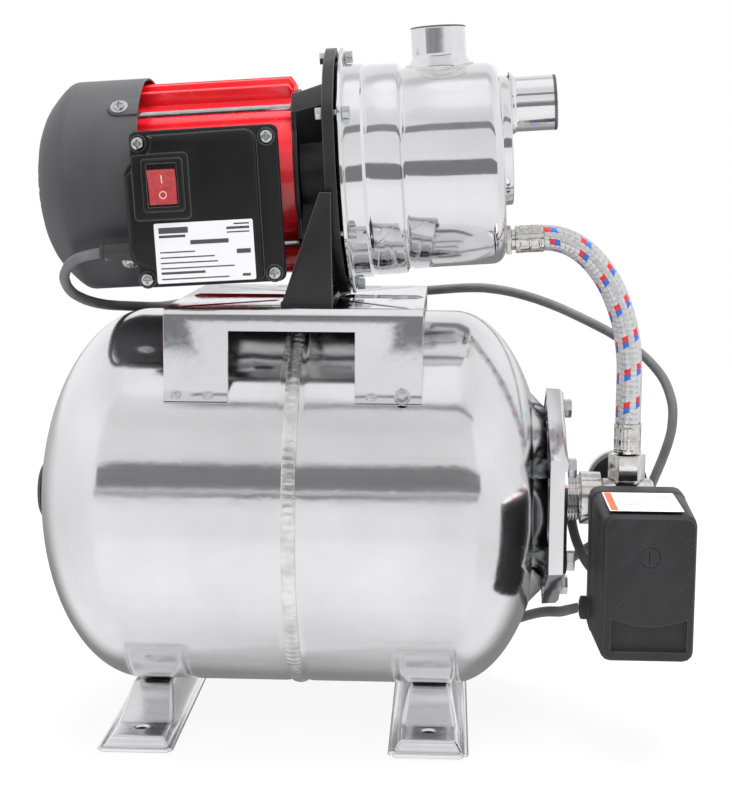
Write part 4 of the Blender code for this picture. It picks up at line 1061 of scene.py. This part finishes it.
def hose_line():
    """Points of the hose's middle line in the floor frame: straight, a quarter ellipse, straight."""
    start = FLOOR.inverted() @ PUMP @ Vector((CASING_END + 0.4, 0, -55.1))
    bend_x, top_z, low_z = 176.0, 358.2, 258.2
    points = [start, Vector((bend_x, 0, top_z))]
    for k in range(1, 49):
        turn = radians(90 * k / 48)
        across = (PORT.x - bend_x) * sin(turn)
        points.append(Vector((bend_x + across, 0, low_z + (top_z - low_z) * cos(turn))))
    points.append(Vector((PORT.x, 0, PORT.z + 0.4)))
    return points


class Line:
    """A line that gives its point, and two directions square to it, at any distance."""

    def __init__(self, points):
        self.points = points
        self.marks = [0.0]
        for one, two in zip(points, points[1:]):
            self.marks.append(self.marks[-1] + (two - one).length)
        self.total = self.marks[-1]

    def at(self, distance):
        k = 0
        while k < len(self.points) - 2 and self.marks[k + 1] < distance:
            k += 1
        step = self.points[k + 1] - self.points[k]
        share = (distance - self.marks[k]) / (self.marks[k + 1] - self.marks[k])
        return self.points[k] + step * share

    def frame(self, distance):
        reach = 2.0
        spot = self.at(distance)
        before = self.at(max(0.0, distance - reach))
        after = self.at(min(self.total, distance + reach))
        ahead = (after - before).normalized()
        side = Vector((0, 1, 0))
        return spot, side, ahead.cross(side)


def tube(name, line, stations, paint, steps, slot, instead=None):
    """A piece along a line. A station is (distance, radius), the radius a number or a rule of the angle."""
    mesh = bmesh.new()
    rings = []
    for distance, radius in stations:
        spot, side, up = line.frame(distance)
        ring = []
        for k in range(steps):
            angle = 360.0 * k / steps
            reach = value(radius, angle)
            across = side * cos(radians(angle)) + up * sin(radians(angle))
            ring.append(mesh.verts.new(spot + across * reach))
        rings.append(ring)
    bridge(mesh, rings, caps=(0, -1))
    put(name, mesh, FLOOR, paint, slot=slot, instead=instead)


def braid(line, start, stop):
    """Bands of four wires wound both ways. Each way lies on top in its own stripes along the hose."""
    radius, lift, carriers, lead = 8.95, 0.34, 6, 24.4
    half_width, wires, per_wire = 1.86, 4, 3
    slope = atan2(lead, 2 * pi * radius)
    stretch, lean = cos(slope), sin(slope) / radius
    steps = 42
    count = int((stop - start) / lead * steps)
    samples = wires * per_wire
    mesh = bmesh.new()
    for way in (1, -1):
        for carrier in range(carriers):
            first = 2 * pi * carrier / carriers
            index = {0: 1, 1: 2}.get(carrier, 0) if way == 1 else 0
            rows = []
            for k in range(count + 1):
                distance = start + (stop - start) * k / count
                turn = first + way * 2 * pi * distance / lead
                over = way * lift * sin(carriers * turn)
                row = []
                for j in range(samples + 1):
                    across = (2 * j / samples - 1) * half_width
                    along = min(stop, max(start, distance + across * stretch))
                    spot, side, up = line.frame(along)
                    swing = turn - way * across * lean
                    crown = 0.16 * abs(sin(pi * j / per_wire)) - 0.04 * across**2
                    outward = side * cos(swing) + up * sin(swing)
                    row.append(mesh.verts.new(spot + outward * (radius + over + crown)))
                rows.append(row)
            bridge(mesh, rows, closed=False, index=index)
    put("hose_braid", mesh, FLOOR, ["steel_wire", "blue_wire", "red_wire"], sharp=80)


def panels(base, deep, count):
    """A crimped ferrule's radius by angle: flat pressed panels between narrow ridges."""

    def rule(angle):
        part = (angle % (360.0 / count)) / (360.0 / count)
        return base - deep if 0.14 < part < 0.86 else base

    return rule


def ferrule(name, line, start, stop):
    """A crimped sleeve: beads at both ends and pressed panels between them."""
    crimp = panels(9.9, 0.55, 8)
    length = stop - start
    stations = [(start, 9.0), (start + 0.3, 9.9), (start + 2.2, 10.1), (start + 2.8, 9.7)]
    stations += [(start + 3.4, 9.9), (start + 4.0, crimp), (start + length * 0.46, crimp)]
    stations += [(start + length * 0.48, 9.95), (start + length * 0.54, 9.95), (start + length * 0.56, crimp)]
    stations += [(stop - 4.0, crimp), (stop - 3.4, 9.9), (stop - 2.4, 9.7), (stop - 2.0, 10.1)]
    stations += [(stop - 0.4, 9.9), (stop, 9.0)]
    tube(name, line, stations, "nickel", 96, "steel_braid")


def hose():
    """The nut at the casing, the rubber core, both ferrules and the braid between them."""
    line = Line(hose_line())
    total = line.total
    head = hexagon(10.4)
    chamfer = offset(head, -0.8)
    stations = [(0.0, chamfer), (0.7, head), (3.3, head), (4.0, chamfer), (4.2, 7.6), (6.6, 7.6)]
    tube("hose_top_nut", line, stations, "nickel", 72, "nickel_plated_brass")
    stations = [(26.0 + (total - 58.0) * k / 40, 8.55) for k in range(41)]
    stations = [(6.0, 7.0), (25.0, 7.0), *stations, (total, 6.0)]
    tube("hose_core", line, stations, "rubber", 48, "steel_braid", "braided_hose")
    ferrule("hose_ferrule_top", line, 6.8, 27.4)
    ferrule("hose_ferrule_low", line, total - 32.4, total - 10.0)
    braid(line, 26.6, total - 31.6)


# ---------------------------------------------------------------- gauge and switch


def letters(name, text, size, spot, turn):
    """Printed characters, centred on a spot of the floor frame."""
    data = bpy.data.curves.new(name, "FONT")
    data.body = text
    data.size = size * MM
    data.align_x = "CENTER"
    data.align_y = "CENTER"
    data.extrude = 0.02 * MM
    data.materials.append(PAINTS["print"])
    made = linked(name, data)
    made.matrix_world = Matrix.Translation(FLOOR @ Vector(spot)) @ turn
    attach(made, ROOT)


def gauge():
    """A dial read from behind, with marks from 0 to 10 over three quarters of a turn."""
    x, z = GAUGE.x, GAUGE.z
    face = 46.06
    dial = [(face, 0.0), (face, 19.4), (face + 0.14, 19.5)]
    lathe("gauge_dial", dial, FLOOR, "label", 72, (x, 0, z), "Y")
    mesh = bmesh.new()
    for k in range(51):
        turn = radians(225 - 270 * k / 50)
        long_mark = k % 10 == 0
        reach = 13.8 if long_mark else (15.0 if k % 5 == 0 else 15.8)
        half = 0.28 if long_mark else 0.13
        outline = [(reach, -half), (17.2, -half), (17.2, half), (reach, half)]
        # The dial is read looking along -Y, so a mark's angle runs the other way in X.
        across, up = cos(turn), sin(turn)
        turned = [(x - (a * across - b * up), z + a * up + b * across) for a, b in outline]
        add_plate(mesh, turned, face - 0.02, face + 0.06)
    put("gauge_scale", mesh, FLOOR, "print")
    facing = Matrix.Rotation(radians(180), 4, "Z") @ Matrix.Rotation(radians(90), 4, "X")
    for k in range(6):
        turn = radians(225 - 54 * k)
        spot = (x - 10.8 * cos(turn), face + 0.08, z + 10.8 * sin(turn))
        letters(f"gauge_number_{2 * k}", str(2 * k), 4.2, spot, facing)
    glass = [(50.6, 0.0), (50.4, 10.0), (49.8, 19.6), (49.2, 19.6), (49.6, 10.0), (49.8, 0.0)]
    lathe("gauge_glass", glass, FLOOR, "window", 64, (x, 0, z), "Y")
    bezel = [(52.0, 19.9), (52.4, 20.4), (52.4, 21.5), (51.8, 22.0), (46.0, 22.0), (45.0, 21.8)]
    lathe("gauge_bezel", bezel, FLOOR, "zinc", 72, (x, 0, z), "Y", slot="black_plastic")


def switch_details():
    """The switch's label, with generic bars and a warm stripe, on top of its cover."""
    high = box_mm("switch_cover")[1]
    base_x = high.x - SEAM_X
    mesh = bmesh.new()
    top = high.z + 0.02
    face = top + 0.2
    sheet = outline_box(base_x - 60.0, base_x - 10.0, -107.0, -48.0, 1.0)
    add_plate(mesh, sheet, top - 0.1, face, (0, 1, 2), 0.06)
    for k, length in enumerate((34.0, 28.0, 31.0, 22.0, 30.0, 26.0)):
        level = -60.0 - 7.0 * k
        bar = outline_box(base_x - 48.0, base_x - 48.0 + length, level, level + 1.6, 0.3, 3)
        add_plate(mesh, bar, face - 0.1, face + 0.02, (0, 1, 2), index=1)
    stripe = outline_box(base_x - 59.0, base_x - 54.0, -106.0, -49.0, 0.4, 3)
    add_plate(mesh, stripe, face - 0.1, face + 0.02, (0, 1, 2), index=2)
    put("switch_label", mesh, FLOOR, ["label", "print", "orange"], body="cover", slot="dark_grey_plastic")


def switch_inside():
    """What an open cover shows: the frame plate, the terminal block, the lever and two spring studs."""
    floor_y = -32.0
    mesh = bmesh.new()
    add_plate(mesh, outline_box(220.0, 266.0, 112.0, 168.0, 2.0), floor_y, floor_y - 2.0, edge=0.3)
    put("switch_frame_plate", mesh, FLOOR, "zinc")
    mesh = bmesh.new()
    add_plate(mesh, outline_box(219.0, 267.0, 86.0, 108.0, 1.5), floor_y, floor_y - 14.0, edge=0.8)
    add_plate(mesh, outline_box(226.0, 260.0, 114.0, 124.0, 1.5), floor_y - 1.5, floor_y - 16.0, edge=0.8)
    for x in (230.5, 243.0, 255.5):
        wall = outline_box(x - 0.8, x + 0.8, 86.5, 107.5, 0.4, 3)
        add_plate(mesh, wall, floor_y - 13.0, floor_y - 18.0, edge=0.3)
    put("switch_terminal_block", mesh, FLOOR, "gloss_black")
    head = [(13.5, 0), (13.5, 3.6), (16.2, 3.6), (16.8, 3.0), (16.8, 0.9), (16.0, 0)]
    for k, x in enumerate((224.7, 236.7, 249.3, 261.3)):
        lathe(f"terminal_screw_{k + 1}", head, FLOOR, "nickel", 24, (x, floor_y, 97.0), "-Y")
    studs = (("main", 243.0, 152.0, 6.2, 34.0), ("range", 229.0, 134.0, 3.4, 20.0))
    for name, x, z, reach, tall in studs:
        stud = [(0, 0), (0, reach * 0.4), (tall + 6, reach * 0.4), (tall + 7, reach * 0.3), (tall + 7, 0)]
        lathe(f"{name}_stud", stud, FLOOR, "zinc", 24, (x, floor_y, z), "-Y")
        nut = hexagon(reach * 0.95)
        ring = [(tall, reach * 0.42), (tall, offset(nut, -0.5)), (tall + 0.5, nut), (tall + 3.5, nut)]
        ring += [(tall + 4, offset(nut, -0.5)), (tall + 4, reach * 0.42)]
        lathe(f"{name}_nut", ring, FLOOR, "zinc", 48, (x, floor_y, z), "-Y", closed=True)
        spring(f"{name}_spring", Vector((x, floor_y, z)), reach, 3.0, tall, 6)


def spring(name, spot, radius, start, stop, turns):
    """A coil about -Y with closed ends."""
    thick, steps, sides = radius * 0.17, 20, 8
    mesh = bmesh.new()
    rows = []
    count = turns * steps
    for k in range(count + 1):
        turn = 2 * pi * k / steps
        share = ease(k / count, 0.06, 0.94)
        outward = Vector((cos(turn), 0, sin(turn)))
        middle = spot + outward * radius - Vector((0, start + (stop - start) * share, 0))
        row = []
        for side in range(sides):
            swing = 2 * pi * side / sides
            away = outward * cos(swing) + Vector((0, sin(swing), 0))
            row.append(mesh.verts.new(middle + away * thick))
        rows.append(row)
    bridge(mesh, rows, caps=(0, -1))
    put(name, mesh, FLOOR, "zinc", sharp=60)


# ---------------------------------------------------------------- room


# What a mirror sees, as pairs of elevation in degrees and shade: ahead of the set, beside it, behind it.
FRONT_SKY = [(-90, 0.65), (-79, 0.80), (-68, 0.87), (-57, 0.93), (-40, 0.97), (-20, 0.95), (-12, 0.88)]
FRONT_SKY += [(-4, 0.88), (8, 0.84), (20, 0.80), (34, 0.77), (43, 0.77)]
FRONT_SKY += [(54, 0.72), (64, 0.78), (73, 0.94), (90, 0.98)]
SIDE_SKY = [(-90, 0.75), (-60, 0.90), (-40, 0.92), (-15, 0.85), (0, 0.86), (25, 0.92), (60, 0.84)]
SIDE_SKY += [(90, 0.95)]
BACK_SKY = [(-90, 0.65), (-80, 0.60), (-69, 0.48), (-46, 0.26), (-20, 0.25), (-3, 0.50), (4, 0.95)]
BACK_SKY += [(10, 0.95), (41, 0.84), (48, 0.80), (57, 0.62), (62, 0.62), (73, 1.0), (90, 0.98)]
# What lights dull surfaces.
SOFT_SKY = [(-90, 0.45), (-20, 0.30), (10, 0.45), (45, 1.0), (90, 1.0)]


def world():
    """White for the camera, soft light from above, and a studio by elevation and azimuth for mirrors."""
    made = bpy.data.worlds.new("studio")
    bpy.context.scene.world = made
    made.use_nodes = True
    made.node_tree.nodes.clear()
    sky = Nodes(made.node_tree)
    parts = sky.node("SeparateXYZ", Vector=sky.node("TexCoord").outputs["Generated"]).outputs
    level = sky.spread(sky.maths("ARCSINE", parts[2]), 0, 1, -pi / 2, pi / 2)
    heading = sky.maths("ARCTAN2", parts[0], sky.maths("MULTIPLY", parts[1], -1.0))
    away = sky.maths("ABSOLUTE", heading)

    def ramp(stops):
        made = sky.node("ValToRGB", Fac=level)
        points = made.color_ramp.elements
        made.color_ramp.interpolation = "EASE"
        while len(points) < len(stops):
            points.new(0.5)
        for point, (elevation, shade) in zip(points, stops):
            point.position = (elevation + 90) / 180
            point.color = (shade, shade, shade * 1.01, 1)
        return made.outputs[0]

    def beyond(start, stop):
        return sky.spread(away, 0, 1, radians(start), radians(stop), "SMOOTHSTEP")

    room = sky.blend(beyond(50, 60), ramp(FRONT_SKY), ramp(SIDE_SKY))
    room = sky.blend(beyond(120, 150), room, ramp(BACK_SKY))
    path = sky.node("LightPath").outputs
    seen = sky.blend(path["Is Glossy Ray"], ramp(SOFT_SKY), room)
    seen = sky.blend(path["Is Camera Ray"], seen, (1.0, 1.0, 1.0))
    sky.node("OutputWorld", Surface=sky.node("Background", Color=seen).outputs[0])


def softbox(name, spot, target, width, height, power):
    """A large soft lamp that mirrors don't show."""
    data = bpy.data.lights.new(name, "AREA")
    data.shape = "RECTANGLE"
    data.size = width
    data.size_y = height
    data.energy = power
    made = linked(name, data)
    made.location = spot
    made.rotation_euler = (Vector(target) - Vector(spot)).to_track_quat("-Z", "Y").to_euler()
    made.visible_glossy = False


def stage_piece(name, mesh, paint):
    """A part of the studio, in metres, that mirrors don't show."""
    data = bpy.data.meshes.new(name)
    mesh.to_mesh(data)
    mesh.free()
    made = linked(name, data)
    data.materials.append(paint.material)
    made.visible_glossy = False
    return made


def floor():
    """A plain pale floor that stays near white where the camera looks at it, with a faint shadow."""
    floor_z, shade_z = -0.0004, -0.0002
    mesh = bmesh.new()
    bmesh.ops.create_circle(mesh, cap_ends=True, segments=96, radius=2.2)
    paint = Paint("pale_floor")
    grain = paint.noise(60)
    paint.set(Base_Color=paint.blend(grain, (0.9, 0.9, 0.9), (0.93, 0.93, 0.93)), Roughness=0.7)
    glow = paint.node("Emission")
    sight = paint.maths("MULTIPLY", paint.node("LightPath").outputs["Is Camera Ray"], 0.88)
    shown = paint.node("MixShader")
    paint.feed(shown.inputs[0], sight)
    paint.feed(shown.inputs[1], paint.shader.outputs[0])
    paint.feed(shown.inputs[2], glow.outputs[0])
    paint.feed(paint.tree.nodes["Material Output"].inputs["Surface"], shown.outputs[0])
    made = stage_piece("studio_floor", mesh, paint)
    made.location.z = floor_z
    for foot in ("foot_left", "foot_right"):
        # Painted shade: a dark sheet under a foot, where the floor lies in shade, which its holes show.
        low, high = box_mm(foot)
        inset = Vector((12.0, 12.0, 0.0))
        low, high = (low + inset) * MM, (high - inset) * MM
        shade = Paint(foot + "_shade")
        shade.set(Base_Color=(0.02, 0.02, 0.02, 1), Roughness=0.9)
        corners = [(x, y, shade_z) for x, y in rectangle(low.x, high.x, low.y, high.y)]
        stage_sheet("studio_" + foot + "_shade", corners, shade)


def rectangle(low_a, high_a, low_b, high_b):
    return [(low_a, low_b), (high_a, low_b), (high_a, high_b), (low_a, high_b)]


def stage_sheet(name, corners, paint):
    mesh = bmesh.new()
    mesh.faces.new([mesh.verts.new(corner) for corner in corners])
    return stage_piece(name, mesh, paint)


def flag(name, y, extent, shade):
    """A strip that only mirrors show. extent is low and high X and low and high Z, in metres."""
    paint = Paint(name)
    paint.set(Base_Color=(0, 0, 0, 1), Roughness=1.0, Specular_IOR_Level=0.0)
    paint.set(Emission_Color=(shade, shade, shade * 1.02, 1), Emission_Strength=1.0)
    made = stage_sheet(name, [(x, y, z) for x, z in rectangle(*extent)], paint)
    for ray in ("camera", "diffuse", "shadow", "transmission"):
        setattr(made, "visible_" + ray, False)
    made.visible_glossy = True


def camera():
    """The main view: a little right of the seam, slightly above, looking slightly down."""
    yaw, pitch, roll = -0.05103, 0.15522, -0.00376
    ahead = Vector((sin(yaw) * cos(pitch), cos(yaw) * cos(pitch), -sin(pitch)))
    right = Vector((cos(yaw), -sin(yaw), 0))
    up = right.cross(ahead)
    turn = Matrix.Rotation(roll, 3, ahead)
    data = bpy.data.cameras.new("photo_camera")
    data.lens = 71.5
    made = linked("photo_camera", data)
    axes = Matrix((turn @ right, turn @ up, turn @ -ahead)).transposed()
    spot = FLOOR @ Vector((105.06, -1173.8, 418.76))
    made.matrix_world = Matrix.Translation(spot) @ axes.to_4x4()
    bpy.context.scene.camera = made


def room():
    world()
    floor()
    target = (0, 0, 0.25)
    # The dark band on vessel and casing, the line above it, and the discharge socket's dark middle.
    flag("studio_band", -0.60, (-0.75, 0.90, 0.31, 0.475), 0.22)
    flag("studio_line", -0.30, (-0.20, 0.45, 0.640, 0.718), 0.26)
    flag("studio_far_band", -3.0, (-4.1, 4.1, 0.62, 0.80), 0.26)
    softbox("key", (-1.0, -1.3, 1.5), target, 1.2, 1.2, 9)
    softbox("fill", (1.4, -0.9, 0.9), target, 0.8, 1.4, 3)
    softbox("top", (0.1, 0.1, 1.7), target, 1.6, 1.0, 54)
    camera()
    bpy.context.scene.view_settings.view_transform = "Standard"


# ---------------------------------------------------------------- the set

dress_cad_nodes()
vessel()
nipple_thread()
bracket_details()
for foot in ("foot_left", "foot_right"):
    foot_skin(foot)
casing()
saddle_weld()
fan_cover()
terminal_box_cover()
terminal_box_details()
hose()
gauge()
switch_details()
switch_inside()
room()
